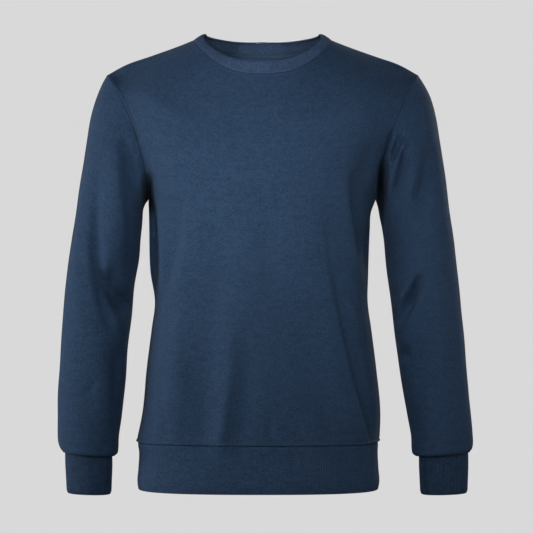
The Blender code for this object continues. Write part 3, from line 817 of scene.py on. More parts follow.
# %% Shape the front and the back
HEM_FOLDS = 0.5
panels = {}
for face in (FRONT, BACK):
    net = tucked(panel_net(face))
    gaps = {"right": net[:, 0], "left": net[:, -1], "neck": net[-1], "hem": net[0]}
    gaps = {name: distance_to(net, edge)[0] for name, edge in gaps.items()}
    fade = edge_fade(np.min([gap for name, gap in gaps.items() if name != "hem"], axis=0))
    # The hem band gathers the cloth, so half of each fold's height is left where it meets the band.
    fade = fade * (HEM_FOLDS + (1 - HEM_FOLDS) * edge_fade(gaps["hem"]))
    foot = net[0].copy()
    out = normals(net, flip=face == BACK)
    waves = unevenness(net, size=70 * MM, height=1.2 * MM)
    height = (all_folds(BODY_FOLDS, net, face=face) + waves) * fade
    net = net + out * height[:, :, None]
    panels[face] = {"net": net, "out": normals(net, flip=face == BACK), "gaps": gaps, "foot": foot}
    print("front" if face == FRONT else "back", "net:", net.shape[0], "rows of", net.shape[1])

# %% [markdown]
# ## The sleeves
# A sleeve is sewn from one flat piece into a tube. It could be drawn as a tube along a bent line, but
# real sleeves aren't round, so it is a stack of rings, each given by its two ends as the front shows them
# and by its depths. The first ring is the armhole itself, and its scoop dies away down the sleeve. The
# last rings blouse out over the cuff and turn in under it, which gives the dark line where the two meet.
# Soft folds run down the sleeve, and a second table holds the creases, which have steeper walls: an arm
# that hangs leaves them at the elbow and where the sleeve leaves the armhole.

# %% The sleeves' and cuffs' measures, in millimetres
RING_COLUMNS = "outer_z outer_left outer_right inner_z inner_left inner_right front back mid_y"
SLEEVE = table(
    RING_COLUMNS,
    (-53.5, 239, 239, -246, 174, 176, 68, 68, 4),
    (-70, 249, 248, -252, 176.5, 180.5, 69, 70, 4),
    (-92, 259, 257, -258, 178.5, 183, 70, 71, 4),
    (-122, 267.5, 265.5, -265, 180, 184.5, 70, 72, 4),
    (-160, 274, 271.5, -274, 181.5, 185, 69, 72, 5),
    (-205, 280.5, 278.5, -287, 184, 186, 67, 70, 5),
    (-255, 287, 286, -308, 187, 188.5, 63, 66, 6),
    (-310, 295, 294.5, -340, 190, 191, 59, 62, 6),
    (-365, 301, 302, -378, 194.5, 197.5, 56, 58, 5),
    (-420, 306.5, 307, -425, 200.5, 201.5, 53, 55, 3),
    (-475, 311.5, 310.5, -476, 207, 208.5, 51, 52, 0),
    (-530, 315.5, 314, -530, 214, 211.5, 48, 49, -3),
    (-575, 319.5, 314.3, -577, 222, 216.5, 44.5, 45, -8),
    (-602, 322, 314.6, -607, 227.5, 220.5, 42, 43, -9.5),
    (-617, 323, 313.5, -626, 228.6, 221.2, 41, 42, -10),
    (-627, 321.5, 310, -635, 230, 222.5, 40.5, 41.5, -10.5),
    (-631.5, 318, 306.3, -638.5, 233.5, 226.5, 38, 39, -11),
)
CUFF = table(
    RING_COLUMNS,
    (-625, 315, 303, -631, 240, 231, 28, 28, -11),
    (-650, 315.5, 302.5, -654, 240, 230.5, 28, 28, -12),
    (-674, 314.8, 301.2, -677, 241, 231.3, 27.3, 27.3, -12.5),
    (-696, 314, 300, -698, 242, 232, 26.8, 26.8, -13),
)
SLEEVE_FOLDS = table(
    "side face " + FOLD_COLUMNS,
    (RIGHT, FRONT, -247, -190, -253, -256, -253, -345, 15, 18, -8, 0.6),
    (RIGHT, FRONT, -222, -170, -215, -262, -214, -345, 26, 12, 8, 0.6),
    (RIGHT, FRONT, -240, -390, -228, -418, -216, -452, 10, 10, 4, 0.5),
    (RIGHT, FRONT, -220, -467, -219, -535, -222, -600, 24, 13, -8, 0.4),
    (RIGHT, FRONT, -237, -445, -235, -530, -237, -612, 30, 15, 5, 0.5),
    (RIGHT, FRONT, -214, -142, -200, -195, -190, -250, 18, 16, -7, 0.5),
    (RIGHT, FRONT, -200, -290, -197, -360, -200, -430, 20, 18, -9, 0.5),
    (RIGHT, FRONT, -282, -260, -284, -350, -280, -450, 14, 18, 3, 0.5),
    (RIGHT, FRONT, -252, -520, -262, -536, -276, -544, 8, 8, -2.5, 0.5),
    (LEFT, FRONT, 255, -156, 249, -225, 238, -295, 16, 16, -9, 0.5),
    (LEFT, FRONT, 236, -150, 230, -200, 222, -262, 16, 14, 5, 0.5),
    (LEFT, FRONT, 227, -368, 213, -394, 203, -422, 8, 8, 5, 0.5),
    (LEFT, FRONT, 204, -468, 216, -484, 231, -494, 9, 9, -6, 0.4),
    (LEFT, FRONT, 262, -504, 251, -512, 243, -522, 6, 6, 3, 0.5),
    (LEFT, FRONT, 262, -524, 252, -531, 244, -538, 6, 6, -3.5, 0.5),
    (LEFT, FRONT, 222, -550, 227, -582, 234, -612, 12, 14, -6, 0.5),
    (LEFT, FRONT, 262, -290, 270, -400, 278, -520, 26, 20, 3, 0.5),
    (RIGHT, BACK, -246, -150, -232, -240, -215, -330, 18, 16, -5, 0.5),
    (RIGHT, BACK, -286, -330, -258, -392, -222, -430, 14, 16, -6, 0.5),
    (RIGHT, BACK, -286, -384, -256, -440, -226, -470, 12, 14, -4, 0.5),
    (RIGHT, BACK, -262, -470, -270, -540, -272, -606, 18, 16, -4, 0.5),
    (LEFT, BACK, 248, -146, 236, -236, 218, -318, 16, 18, -5, 0.5),
    (LEFT, BACK, 288, -318, 262, -380, 224, -416, 15, 14, -6, 0.5),
    (LEFT, BACK, 284, -372, 260, -424, 230, -462, 13, 12, -4, 0.5),
    (LEFT, BACK, 256, -462, 264, -536, 270, -606, 16, 18, -4, 0.5),
)
SLEEVE_CREASES = table(
    "side face " + FOLD_COLUMNS,
    (RIGHT, FRONT, -257, -290, -248, -368, -228, -450, 15, 18, -9, 0.5),
    (RIGHT, FRONT, -236, -352, -219, -392, -197, -422, 24, 22, -24, 0.6),
    (LEFT, FRONT, 208, -146, 199, -172, 188, -198, 8, 9, -15, 0.5),
    (LEFT, FRONT, 221, -160, 208, -208, 194, -258, 10, 10, -12, 0.5),
    (LEFT, FRONT, 245, -184, 240, -222, 229, -262, 12, 12, -9, 0.5),
    (LEFT, FRONT, 241, -360, 225, -396, 204, -440, 12, 12, -22, 0.5),
    (LEFT, FRONT, 222, -470, 216, -482, 204, -496, 9, 9, -10, 0.5),
)
ARMHOLE_FADE = 7
RIB = 2.8 * MM
RIB_RELIEF = 0.3 * MM
RING_FULLNESS = 0.86
print("sleeves:", len(SLEEVE_FOLDS["side"]), "folds and", len(SLEEVE_CREASES["side"]), "creases")


# %% Rings of the sleeves and cuffs
def ring(rows, along, side, turn):
    """Points of a sleeve or cuff. turn is 0 at the outer edge and 90 at the front."""
    name = "left" if side == LEFT else "right"
    index = np.arange(len(rows["front"]), dtype=float)
    at = {c: smooth(along, index, rows[c]) for c in rows}
    cos, sin = np.cos(np.radians(turn)), np.sin(np.radians(turn))
    outer_x, inner_x = at[f"outer_{name}"], at[f"inner_{name}"]
    x = (outer_x + inner_x) / 2 + cos * (outer_x - inner_x) / 2
    z = (at["outer_z"] + at["inner_z"]) / 2 + cos * (at["outer_z"] - at["inner_z"]) / 2
    y = at["mid_y"] - np.where(sin > 0, at["front"], at["back"]) * np.sign(sin) * np.abs(sin) ** RING_FULLNESS
    return np.stack([side * x, y, z], axis=-1) * MM


# %% Shape the sleeves
SLEEVE_ROWS = 176
CREASE_CRISP = 3
END_FADE = 1.5
FACING_POWER = 0.7
NEAR_ROWS = 30
TURN_ROWS = 9
TURN_GAP, TURN_BULGE = 0.8 * MM, 2.2 * MM


def turned_in(end, side):
    """Rows that turn the sleeve's end in under itself, to the cuff's cloth and a little way up it."""
    rings = np.array([ring(CUFF, a, side, TURNS) for a in (0.0, 0.2, 0.45)])
    cuff_out = normals(rings[:2], around=True, flip=side == RIGHT)[1]
    home = rings[1] + cuff_out * TURN_GAP
    low = end * 0.35 + rings[2] * 0.65 + cuff_out * TURN_BULGE
    t = np.linspace(0, 1, TURN_ROWS)[1:, None, None]
    return end * (1 - t) ** 2 + low * 2 * t * (1 - t) + home * t**2


sleeves = {}
for side in (LEFT, RIGHT):
    last = len(SLEEVE["front"]) - 1
    # A sleeve's first rings are about 16 mm apart, so this puts the first rows on SEAM_STEPS.
    near = SEAM_STEPS / (16 * MM)
    alongs = np.concatenate([near, np.linspace(near[-1], last, SLEEVE_ROWS)[1:]])
    halves = [armhole(HALF_TURNS, side, FRONT), armhole(HALF_TURNS, side, BACK)[::-1]]
    scoop = np.concatenate([half[:-1] for half in halves]) - ring(SLEEVE, 0.0, side, TURNS)
    left_over = np.clip(1 - alongs / ARMHOLE_FADE, 0, None) ** 2
    net = tucked(np.array([ring(SLEEVE, a, side, TURNS) + scoop * k for a, k in zip(alongs, left_over)]))
    out = normals(net, around=True, flip=side == RIGHT)
    height = np.zeros(net.shape[:2])
    for face in (FRONT, BACK):
        facing = np.clip(face * out[:, :, 1], 0, 1) ** FACING_POWER
        height += facing * all_folds(SLEEVE_FOLDS, net, side=side, face=face)
        height += facing * all_folds(SLEEVE_CREASES, net, crisp=CREASE_CRISP, side=side, face=face)
    height += unevenness(net, size=60 * MM, height=1.0 * MM)
    ends = np.clip(np.minimum(alongs, last - alongs) / END_FADE, 0, 1)[:, None]
    gap = np.full(net.shape[:2], 1.0)
    gap[:NEAR_ROWS] = distance_to(net[:NEAR_ROWS], net[0], closed=True)[0]
    net = net + out * (height * ends * edge_fade(gap))[:, :, None]
    net = np.concatenate([net, turned_in(net[-1], side)])
    gap = np.concatenate([gap, np.full((TURN_ROWS - 1, gap.shape[1]), 1.0)])
    sleeves[side] = {"net": net, "out": normals(net, around=True, flip=side == RIGHT), "gap": gap}
    print("left" if side == LEFT else "right", "sleeve:", net.shape[0], "rows of", net.shape[1])

# %% [markdown]
# ## Sewing the panels together
# Where two pieces meet they must share one edge, or daylight shows through the seam. Joining their meshes
# would close it, but a front and a back are two pieces of cloth. So both use the same points there, and
# one direction between their two normals. The groove is pressed in along that shared direction, and the
# piece's own normal takes over within a few millimetres.


# %% Sew: share the directions at each seam
def lean_to(out, row, gap, reach=5 * MM):
    """Turns a grid's normals towards a seam's shared ones, the nearer the seam the more."""
    return unit(out + (row - out) * np.exp(-((gap / reach) ** 2))[:, :, None])


def meet(a, b):
    """The direction halfway between two."""
    return unit(a + b)


front, back = panels[FRONT], panels[BACK]
for side, name, column in ((RIGHT, "right", 0), (LEFT, "left", -1)):
    shared = {FRONT: meet(front["out"][:, column], back["out"][:, column])}
    shared[BACK] = shared[FRONT].copy()
    half = ARM.sum()
    loop = np.concatenate([front["out"][ARM, column][::-1][:-1], back["out"][ARM, column][:-1]])
    loop = meet(loop, sleeves[side]["out"][0])
    shared[FRONT][ARM] = loop[:half][::-1]
    shared[BACK][ARM] = np.roll(loop, -(half - 1), axis=0)[:half]
    for face in (FRONT, BACK):
        panel = panels[face]
        panel["out"] = lean_to(panel["out"], shared[face][:, None], panel["gaps"][name])
    sleeve = sleeves[side]
    sleeve["out"] = lean_to(sleeve["out"], loop[None], sleeve["gap"])
    print(name, "armhole:", len(loop), "shared points")

# %% Press the seams in and make the fleece pieces
# The armhole's seam lies almost flat up at the shoulder and puffs more towards the armpit.
BODY_PUFF = table("drop share", (65, 0.12), (115, 0.5), (150, 0.8))
SLEEVE_PUFF = table("drop share", (77.5, 0.125), (115, 0.5))
NECK_PUFF = 0.3
SLEEVE_LIP = 0.2


def puff_at(net, rows):
    """How much of a seam's relief shows at each point, by how far it lies below the shoulders."""
    return np.interp(-net[:, :, 2], rows["drop"] * MM, rows["share"])


PIECES = {}
for face, name in ((FRONT, "front"), (BACK, "back")):
    panel = panels[face]
    gaps = panel["gaps"]
    level_out = panel["out"][0] * [1, 1, 0]
    panel["out"] = lean_to(panel["out"], unit(level_out)[None], gaps["hem"])
    puff = puff_at(panel["net"], BODY_PUFF)
    dips = seam(gaps["left"], puff, puff) + seam(gaps["right"], puff, puff)
    dips += seam(gaps["neck"], NECK_PUFF, NECK_PUFF)
    dips += seam(gaps["hem"], kind=HEM)
    outer = panel["net"] + panel["out"] * dips[:, :, None]
    inner = panel["net"] - panel["out"] * FLEECE
    cloths = [face_cloth, back_cloth]
    piece = make_piece(f"{name}_cloth", np.concatenate([outer, inner]), wall_patches(outer), cloths)
    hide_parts(f"{name}_body")
    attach(piece, "root")
    panel["outer"], PIECES[name] = outer, piece

for side, name in ((LEFT, "left"), (RIGHT, "right")):
    sleeve = sleeves[side]
    puff = puff_at(sleeve["net"], SLEEVE_PUFF)
    outer = sleeve["net"] + sleeve["out"] * seam(sleeve["gap"], SLEEVE_LIP * puff, puff)[:, :, None]
    inner = sleeve["net"] - sleeve["out"] * FLEECE
    patches = wall_patches(outer, around=True)
    cloths = [sleeve_cloth, back_cloth]
    piece = make_piece(f"sleeve_{name}_cloth", np.concatenate([outer, inner]), patches, cloths)
    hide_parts(f"sleeve_{name}")
    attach(piece, "root")
    sleeve["outer"], PIECES[f"sleeve_{name}"] = outer, piece

# %% [markdown]
# ## Rib, folded double
# Rib is knitted so that columns stand up in front and sink between, and it is always folded double, so
# both faces show ribs and the free edge is a soft roll. A bump could draw the ribs, but it would leave
# the band's edge straight, where the real one is notched, so the ribs are real. All four bands come from
# one function. It takes a way to find a row of points at any share of the band's height, and walks down
# the outside, round the fold and back up the inside. Across the band, ribs rise and fall with the column.

# %% A band of rib
RIB_POINTS = 6
RIB_ROUND, RIB_SINK = 0.7, 0.6
SEAM_GRIP = 3 * MM


def band_section(height, steps=16, turns=6):
    """Shares of the band's height, and how far in from its face, down one side and up the other."""
    half = RIB / 2 / height
    down = np.linspace(0, 1 - half, steps)
    angle = np.linspace(0, math.pi, turns + 2)[1:-1]
    share = np.concatenate([down, 1 - half + half * np.sin(angle), down[::-1]])
    inset = np.concatenate([down * 0, (1 - np.cos(angle)) / 2, down * 0 + 1])
    return share, inset


def rib_band(name, row_at, height, ribs, solid, relief=RIB_RELIEF, cloth=rib_cloth):
    """A closed band of rib knit. row_at(share) gives a row of points and their outward directions."""
    share, inset = band_section(height)
    phase = np.arange(ribs * RIB_POINTS) / RIB_POINTS
    profile = np.abs(np.cos(np.pi * phase)) ** RIB_ROUND - RIB_SINK
    rows = []
    for s, i in zip(share, inset):
        points, away = row_at(s)
        facing = math.cos(math.pi * i)
        # The seam holds the ribs flat, and they come up to their full relief a few millimetres below it.
        grip = 1 - math.exp(-((s * height / SEAM_GRIP) ** 2))
        rows.append(points - away * (i * RIB) + away * facing * (profile * relief * grip)[:, None])
    net = np.array(rows)
    index = wrap(np.arange(net.shape[0] * net.shape[1]).reshape(net.shape[:2]))
    index = np.concatenate([index, index[:1]])
    girth = lengths(np.array([*net[0], net[0][0]]))[-1]
    down = lengths(net[:, 0])
    places = np.stack(np.meshgrid(np.linspace(0, girth, net.shape[1] + 1), [*down, down[-1] + RIB]), axis=2)
    piece = make_piece(name, net, [(index, places, 0)], [cloth])
    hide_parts(solid)
    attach(piece, "root")
    return piece


def around(loop, count):
    """A closed loop of points read again at count even places."""
    wide = np.concatenate([loop[-3:], loop, loop[:4]])
    return smooth(np.arange(count) * len(loop) / count + 3, np.arange(len(wide)), wide)


# %% [markdown]
# ## The hem band
# The band is narrower than the body is wide, so it pulls the hem in, and the cloth above it falls in
# small gathers. A plain loop would look cut off with a knife there. So the band starts on the body's own
# last row, keeps that row's gathers near the seam and loses them further down. A short table says how far
# in its face lies at each height, on either side.

# %% Make the hem band
HEM_HEIGHT = 73 * MM
HEM_SECTION = table(
    "share right left",
    (0, -2.2, -2.2),
    (0.03, -2.0, -1.8),
    (0.2, -3.6, -2.2),
    (0.55, -2.6, -1.4),
    (0.88, -1.2, -0.2),
    (1, -2.6, -2.0),
)
HEM_RIBS = 242
HEM_TURN_POINTS = 9
GATHER_REACH = 0.3
HEM_WIDTH = 300 * MM


def hem_loop(front_row, back_row):
    """A loop round the hem, along the front and back again."""
    return np.concatenate([front_row[:-1], back_row[::-1]])


bottom = hem_loop(panels[FRONT]["foot"], panels[BACK]["foot"])
gathered = hem_loop(panels[FRONT]["net"][0], panels[BACK]["net"][0])
along = lengths(bottom)
even = np.linspace(0, along[-1], HEM_RIBS * RIB_POINTS + 1)[:-1]
hem, gathered = (
    np.stack([np.interp(even, along, row[:, k]) for k in range(3)], axis=1)
    for row in (bottom, gathered)
)
gathers = (gathered - hem) * [1, 1, 0]
hem[:, 2] = CENTRE["front_z"][0] * MM
hem_along = np.roll(hem, -HEM_TURN_POINTS, axis=0) - np.roll(hem, HEM_TURN_POINTS, axis=0)
hem_out = unit(np.cross(hem_along, [0, 0, 1]))


def hem_row(share):
    """A row of the hem band, and its outward directions."""
    right, left = (read(HEM_SECTION, side, share, "share") * MM for side in ("right", "left"))
    bulge = right + (left - right) * np.clip(0.5 + hem[:, :1] / HEM_WIDTH, 0, 1)
    loose = math.exp(-((share / GATHER_REACH) ** 2))
    return hem + hem_out * bulge + gathers * loose - [0, 0, share * HEM_HEIGHT], hem_out


hem_piece = rib_band("hem_rib", hem_row, HEM_HEIGHT, HEM_RIBS, "hem_band")

# %% [markdown]
# ## The cuffs
# A cuff is a short tube of the same rib, and the sleeve blouses over its upper end. It could be a plain
# cylinder, but a wrist isn't round and the mouth curls in a little where the rib is folded. So it is a
# stack of rings, as the sleeve is, and its last stretch leans inwards.

# %% Make the cuffs
CUFF_HEIGHT = 72 * MM
CUFF_RIBS = 60
CURL, CURL_FROM = 2.4 * MM, 0.93
CUFF_TURNS = np.arange(CUFF_RIBS * RIB_POINTS) * 360 / (CUFF_RIBS * RIB_POINTS)
NEXT_RING = 0.02
cuff_pieces = {}
for side, name in ((LEFT, "left"), (RIGHT, "right")):

    def cuff_row(share):
        """A row of this side's cuff, and its outward directions, from the rings just above and below."""
        along = share * (len(CUFF["front"]) - 1)
        rows = np.array([ring(CUFF, along + step, side, CUFF_TURNS) for step in (-NEXT_RING, 0, NEXT_RING)])
        away = normals(rows, around=True, flip=side == RIGHT)[1]
        curl = CURL * max(0.0, (share - CURL_FROM) / (1 - CURL_FROM)) ** 2
        return rows[1] - away * curl, away

    solid = f"cuff_{name}"
    cuff_pieces[side] = rib_band(f"{solid}_rib", cuff_row, CUFF_HEIGHT, CUFF_RIBS, solid, cloth=shaded_cuff_cloth)

# %% [markdown]
# ## The collar
# A collar is what the eye goes to first. It stands up from the neck seam, leans in towards the neck and
# is a little bowed, and its ribs fan out round the curve. Sweeping one section along a curve would keep
# it the same all round, but a real collar stands up more at the front and back than over the shoulders.
# So it runs from the panels' own neck rows to a crest, and a table says how far in and up the crest lies
# at each angle from the front.

# %% Make the collar
COLLAR = table("angle inward up", (0, 13, 21), (45, 16, 17.5), (90, 18.5, 11), (135, 15, 15), (180, 10, 17.5))
COLLAR_SECTION = table("height bulge", (0, 0), (0.45, 0.8), (0.88, 0.2), (1.04, -1.4))
COLLAR_RIBS = 176
COLLAR_HEIGHT = 24 * MM
COLLAR_RELIEF = 0.35 * MM
COLLAR_STRETCH = 1.04
SMOOTHINGS = 3


def neck_loop(key):
    """A loop round the neck seam, of points or directions, from the two panels' top rows."""
    pair = [panels[FRONT][key][-1], panels[BACK][key][-1][::-1]]
    every = [row[np.linspace(0, len(row) - 1, PANEL_COLUMNS + 1).astype(int)] for row in pair]
    return np.concatenate([every[0][:-1], every[1][:-1]])


foot, foot_out = neck_loop("net"), neck_loop("out")
heading = np.degrees(np.arctan2(np.abs(foot[:, 0]), -(foot[:, 1] - SEAM_Y)))
level_out = unit(foot_out * [1, 1, 0])
inward, up = (smooth(heading, COLLAR["angle"], COLLAR[c]) * MM for c in ("inward", "up"))
crest = foot - level_out * inward[:, None] + np.array([0, 0, 1]) * up[:, None]
rise = unit(crest - foot)
face_out = unit(np.cross(np.roll(foot, -1, axis=0) - np.roll(foot, 1, axis=0), rise))
for _ in range(SMOOTHINGS):
    face_out = unit(face_out + (np.roll(face_out, 1, axis=0) + np.roll(face_out, -1, axis=0)) / 2)
count = COLLAR_RIBS * RIB_POINTS
collar = {k: around(v, count) for k, v in (("foot", foot), ("crest", crest), ("out", face_out))}


def collar_row(share):
    """A row of the collar, from the neck seam to the crest, and its outward directions."""
    h = share * COLLAR_STRETCH
    row = collar["foot"] * (1 - h) + collar["crest"] * h
    return row + collar["out"] * read(COLLAR_SECTION, "bulge", h, "height") * MM, unit(collar["out"])


collar_piece = rib_band(
    "collar_rib_knit", collar_row, COLLAR_HEIGHT, COLLAR_RIBS, "collar_rib", COLLAR_RELIEF, collar_cloth
)

# %% [markdown]
# ## The neck tape
# A tape of smooth twill covers the raw edges of the back neck seam, so that it doesn't scratch. It could
# be swept along its own curve. But it has to lie on the back's inner face all along, and so it is made
# from the back's own rows of points, moved in by the cloth's thickness.

# %% Make the neck tape
TAPE = 1.0 * MM
TAPE_CLEAR = 0.3 * MM
TAPE_LEVELS = (2.92, 2.987)
TAPE_MARGIN = 2 / 22
rows = np.flatnonzero((LEVELS >= TAPE_LEVELS[0]) & (LEVELS <= TAPE_LEVELS[1]))
margin = int(back["net"].shape[1] * TAPE_MARGIN)
tape_line, tape_out = (back[key][rows][:, margin:-margin] for key in ("net", "out"))
tape_net = tape_line - tape_out * (FLEECE + TAPE_CLEAR)
tape_points = np.concatenate([tape_net, tape_net - tape_out * TAPE])
tape_piece = make_piece("tape", tape_points, wall_patches(tape_net), [tape_cloth, tape_cloth])
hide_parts("neck_tape")
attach(tape_piece, "root")

# %% [markdown]
# ## Stitches
# A sweatshirt's seams are finished from the right side by a row of stitches that holds the turned-in
# layers flat. A texture of dashes would do from far off, but close up a stitch casts a shadow. So each is
# a small spindle of thread that sinks into the cloth at both ends. One spindle is worked out and set
# along each seam, three to the centimetre, in the dip that the seam already has.

# %% Rows of stitches
STITCH_LENGTH, STITCH_GAP, THREAD = 2.3 * MM, 0.9 * MM, 0.55 * MM
THREAD_LIFT = 0.12 * MM
THREAD_STEP = 0.5 * MM
SIDES = 5


def spindle():
    """One stitch along X with a unit length and a unit thickness: its points, and its faces."""
    rings = [(-0.5, 0.0), (-0.28, 0.5), (0.28, 0.5), (0.5, 0.0)]
    turn = np.arange(SIDES) * 2 * math.pi / SIDES
    points = [(x, r * math.cos(a), r * math.sin(a)) for x, r in rings for a in turn]
    faces = [
        (k * SIDES + a, k * SIDES + (a + 1) % SIDES, (k + 1) * SIDES + (a + 1) % SIDES, (k + 1) * SIDES + a)
        for k in range(3)
        for a in range(SIDES)
    ]
    return np.array(points), np.array(faces)


def stitch_row(name, line, out):
    """A row of stitches along a line of points on the cloth, lying against it."""
    along = lengths(line)
    count = int(along[-1] / (STITCH_LENGTH + STITCH_GAP))
    middle = (np.arange(count) + 0.5) * along[-1] / count
    place, ahead, up = (
        np.stack([np.interp(at, along, values[:, k]) for k in range(3)], axis=1)
        for at, values in ((middle, line), (middle + THREAD_STEP, line), (middle, out))
    )
    heading, up = unit(ahead - place), unit(up)
    axes = (heading, unit(np.cross(up, heading)), up)
    points, faces = spindle()
    points = points * [STITCH_LENGTH, THREAD, THREAD]
    net = place[:, None] + up[:, None] * THREAD_LIFT
    net = net + sum(points[None, :, k, None] * axis[:, None] for k, axis in enumerate(axes))
    every = faces[None] + (np.arange(count) * len(points))[:, None, None]
    mesh = bpy.data.meshes.new(name)
    mesh.from_pydata(net.reshape(-1, 3).tolist(), [], every.reshape(-1, 4).tolist())
    places = np.tile(points[faces][:, :, :2].reshape(-1, 2), (count, 1))
    mesh.uv_layers.new(name="cloth").data.foreach_set("uv", places.ravel())
    mesh.shade_smooth()
    mesh.materials.append(thread_cloth)
    piece = bpy.data.objects.new(name, mesh)
    scene.collection.objects.link(piece)
    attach(piece, "root")
    print(f"{name}: {count} stitches")
    return piece


print("one stitch:", len(spindle()[1]), "faces")

# %% Set the stitches along the seams
# These rows of points lie in a seam's stitch dip, counted from the edge.
SEAM_ROW, HEM_ROW = 7, 8
for face, name in ((FRONT, "front"), (BACK, "back")):
    outer, out = panels[face]["outer"], panels[face]["out"]
    rows = {
        "hem": np.s_[HEM_ROW, :],
        "neck": np.s_[-SEAM_ROW - 1, :],
        "armhole_right": np.s_[ARM, SEAM_ROW],
        "armhole_left": np.s_[ARM, -SEAM_ROW - 1],
    }
    seam_lines = {f"stitches_{name}_{where}": (outer[at], out[at]) for where, at in rows.items()}
    [stitch_row(label, *line) for label, line in seam_lines.items()]

# %% [markdown]
# ## What each piece was cut to
# A sheet of cloth keeps its size when it is sewn up, so each piece's flat cut is listed: the width all
# round where it is a tube, the length, and the area where the cut isn't a rectangle. Rib is cut double
# and folded, and the size given is of the face that shows. Measuring the cloth in the model beside its
# cut shows at once where a fold has eaten up too much.

# %% Flat sizes in metres
CUTS = {
    "front": (0.575, 0.665, 0.287, "hung"),
    "back": (0.555, 0.665, 0.285, "hung"),
    "sleeve_left": (0.53, 0.60, 0.178, "hung"),
    "sleeve_right": (0.53, 0.60, 0.178, "hung"),
    "hem": (0.95, 0.073, None, "folded"),
    "cuff_left": (0.205, 0.072, None, "folded"),
    "cuff_right": (0.205, 0.072, None, "folded"),
    "collar": (0.60, 0.0245, None, "folded"),
    "tape": (0.24, 0.010, 0.0017, "draped"),
}
PIECES.update(hem=hem_piece, collar=collar_piece, tape=tape_piece)
PIECES.update(cuff_left=cuff_pieces[LEFT], cuff_right=cuff_pieces[RIGHT])
for name, (width, length, area, held) in CUTS.items():
    real = sum(p.area for p in PIECES[name].data.polygons) / 2
    print(f"{name}: cut {width} x {length} m, cloth in the model {real:.4f} m2")

# %% [markdown]
# ## Floor and background
# A garment is shown hanging free before a plain pale ground, with the floor far below. A pale world would
# be the simple way, but it would light dark cloth from all round and flatten every fold. So both are pale
# only to the camera, by way of the Light Path node, and give almost no light of their own.

# %% Floor and background
PALE = (0.693, 0.693, 0.693, 1)
FLOOR_Z = -1.25
FLOOR_HALF = 3
corners = ((-1, -1), (1, -1), (1, 1), (-1, 1))
floor_mesh = bpy.data.meshes.new("floor")
floor_mesh.from_pydata([(x * FLOOR_HALF, y * FLOOR_HALF, FLOOR_Z) for x, y in corners], [], [(0, 1, 2, 3)])
floor = bpy.data.objects.new("floor", floor_mesh)
scene.collection.objects.link(floor)
pale = bpy.data.materials.new("pale floor")
pale.use_nodes = True
n = Nodes(pale.node_tree)
paint = pale.node_tree.nodes["Principled BSDF"]
paint.inputs["Base Color"].default_value = (0.1, 0.1, 0.1, 1)
paint.inputs["Roughness"].default_value = 0.9
paint.inputs["Emission Color"].default_value = PALE
n.set(paint.inputs["Emission Strength"], n.add("LightPath").outputs["Is Camera Ray"])
floor_mesh.materials.append(pale)

world = bpy.data.worlds.new("studio")
scene.world = world
world.use_nodes = True
n = Nodes(world.node_tree)
room = world.node_tree.nodes["Background"]
room.inputs["Color"].default_value = (0.006, 0.006, 0.006, 1)
seen_room = n.add("Background", {"Color": PALE})
mix = n.add("MixShader", {1: room.outputs[0], 2: seen_room.outputs[0]})
n.set(mix.inputs[0], n.add("LightPath").outputs["Is Camera Ray"])
n.set(world.node_tree.nodes["World Output"].inputs["Surface"], mix.outputs[0])
print("background:", PALE[:3])

# %% [markdown]
# ## The lamps
# Dark cloth shows its folds only where light comes from one side more than from another. One big soft
# lamp would be even and dull. Here large lamps stand in front, near enough that their light falls off
# from the chest towards the hem, and two of them stand low. A strong one far out on the left and weaker
# ones on the right draw the sleeves' edges. Small lamps with a narrow spread lay soft pools of light on
# the chest and on one sleeve, two lamps high behind light the back, and a very small one looks down into
# the neck. Each row says how far the lamp is turned from the front, how far away and how high it stands,
# and what it looks at.

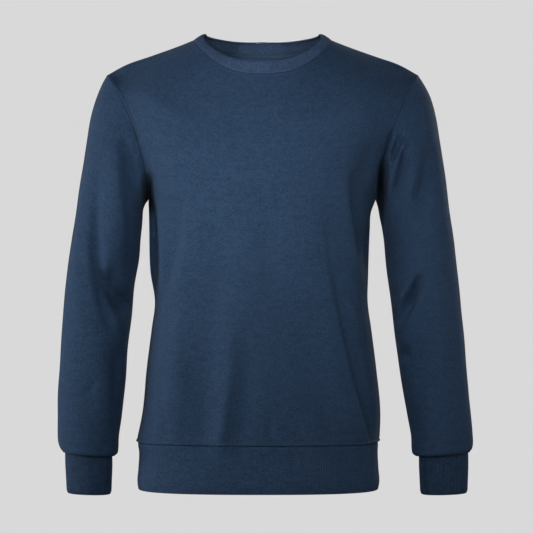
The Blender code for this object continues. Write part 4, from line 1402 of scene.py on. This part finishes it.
# %% Lamps
CHEST = (-0.02, -0.1, -0.22)
LAMPS = table(
    "turn away z size spread watts at_x at_y at_z",
    (-25, 1.7, 0.45, 0.9, 50, 0.58, *CHEST),
    (-10, 1.7, 0.0, 0.9, 180, 3.0, *CHEST),
    (-5, 1.7, 0.0, 0.9, 50, 0.22, *CHEST),
    (15, 1.7, 0.0, 0.9, 180, 2.85, *CHEST),
    (35, 1.7, 0.0, 0.9, 50, 0.11, *CHEST),
    (-60, 1.7, -0.95, 0.9, 180, 2.4, *CHEST),
    (65, 1.7, -0.95, 0.9, 180, 1.5, *CHEST),
    (-15, 1.4, 0.05, 0.25, 26, 0.07, *CHEST),
    (10, 1.4, -0.35, 0.25, 26, 0.06, *CHEST),
    (-50, 1.9, 0.3, 0.25, 9, 0.018, 0.235, -0.05, -0.24),
    (-50, 1.9, 0.0, 0.25, 9, 0.010, 0.25, -0.05, -0.42),
    (25, 1.9, 0.1, 0.25, 8, 0.010, 0.285, -0.03, -0.3),
    (25, 1.9, -0.2, 0.25, 8, 0.005, 0.295, -0.03, -0.46),
    (-80, 3.0, -0.09, 1.4, 180, 46.0, *CHEST),
    (80, 3.0, -0.09, 1.4, 180, 5.0, *CHEST),
    (100, 3.0, -0.09, 1.4, 180, 7.6, *CHEST),
    (-100, 3.0, -0.09, 1.4, 180, 4.3, *CHEST),
    (145, 3.0, 0.68, 1.4, 180, 38.0, *CHEST),
    (-145, 3.0, 0.68, 1.4, 180, 15.0, *CHEST),
    (0, 1.3, 0.25, 0.1, 6, 0.021, 0, 0.09, -0.005),
)
for i, (turn, away, z, size, spread, watts, *at) in enumerate(zip(*LAMPS.values())):
    lamp = bpy.data.objects.new(f"lamp_{i}", bpy.data.lights.new(f"lamp_{i}", "AREA"))
    scene.collection.objects.link(lamp)
    lamp.data.size = size
    lamp.data.spread = math.radians(spread)
    lamp.data.energy = watts
    lamp.location = (away * math.sin(math.radians(turn)), -away * math.cos(math.radians(turn)), z)
    lamp.rotation_euler = (Vector(at) - lamp.location).to_track_quat("-Z", "Y").to_euler()
    lamp.visible_camera = False
print(len(LAMPS["turn"]), "lamps,", LAMPS["watts"].sum(), "W")
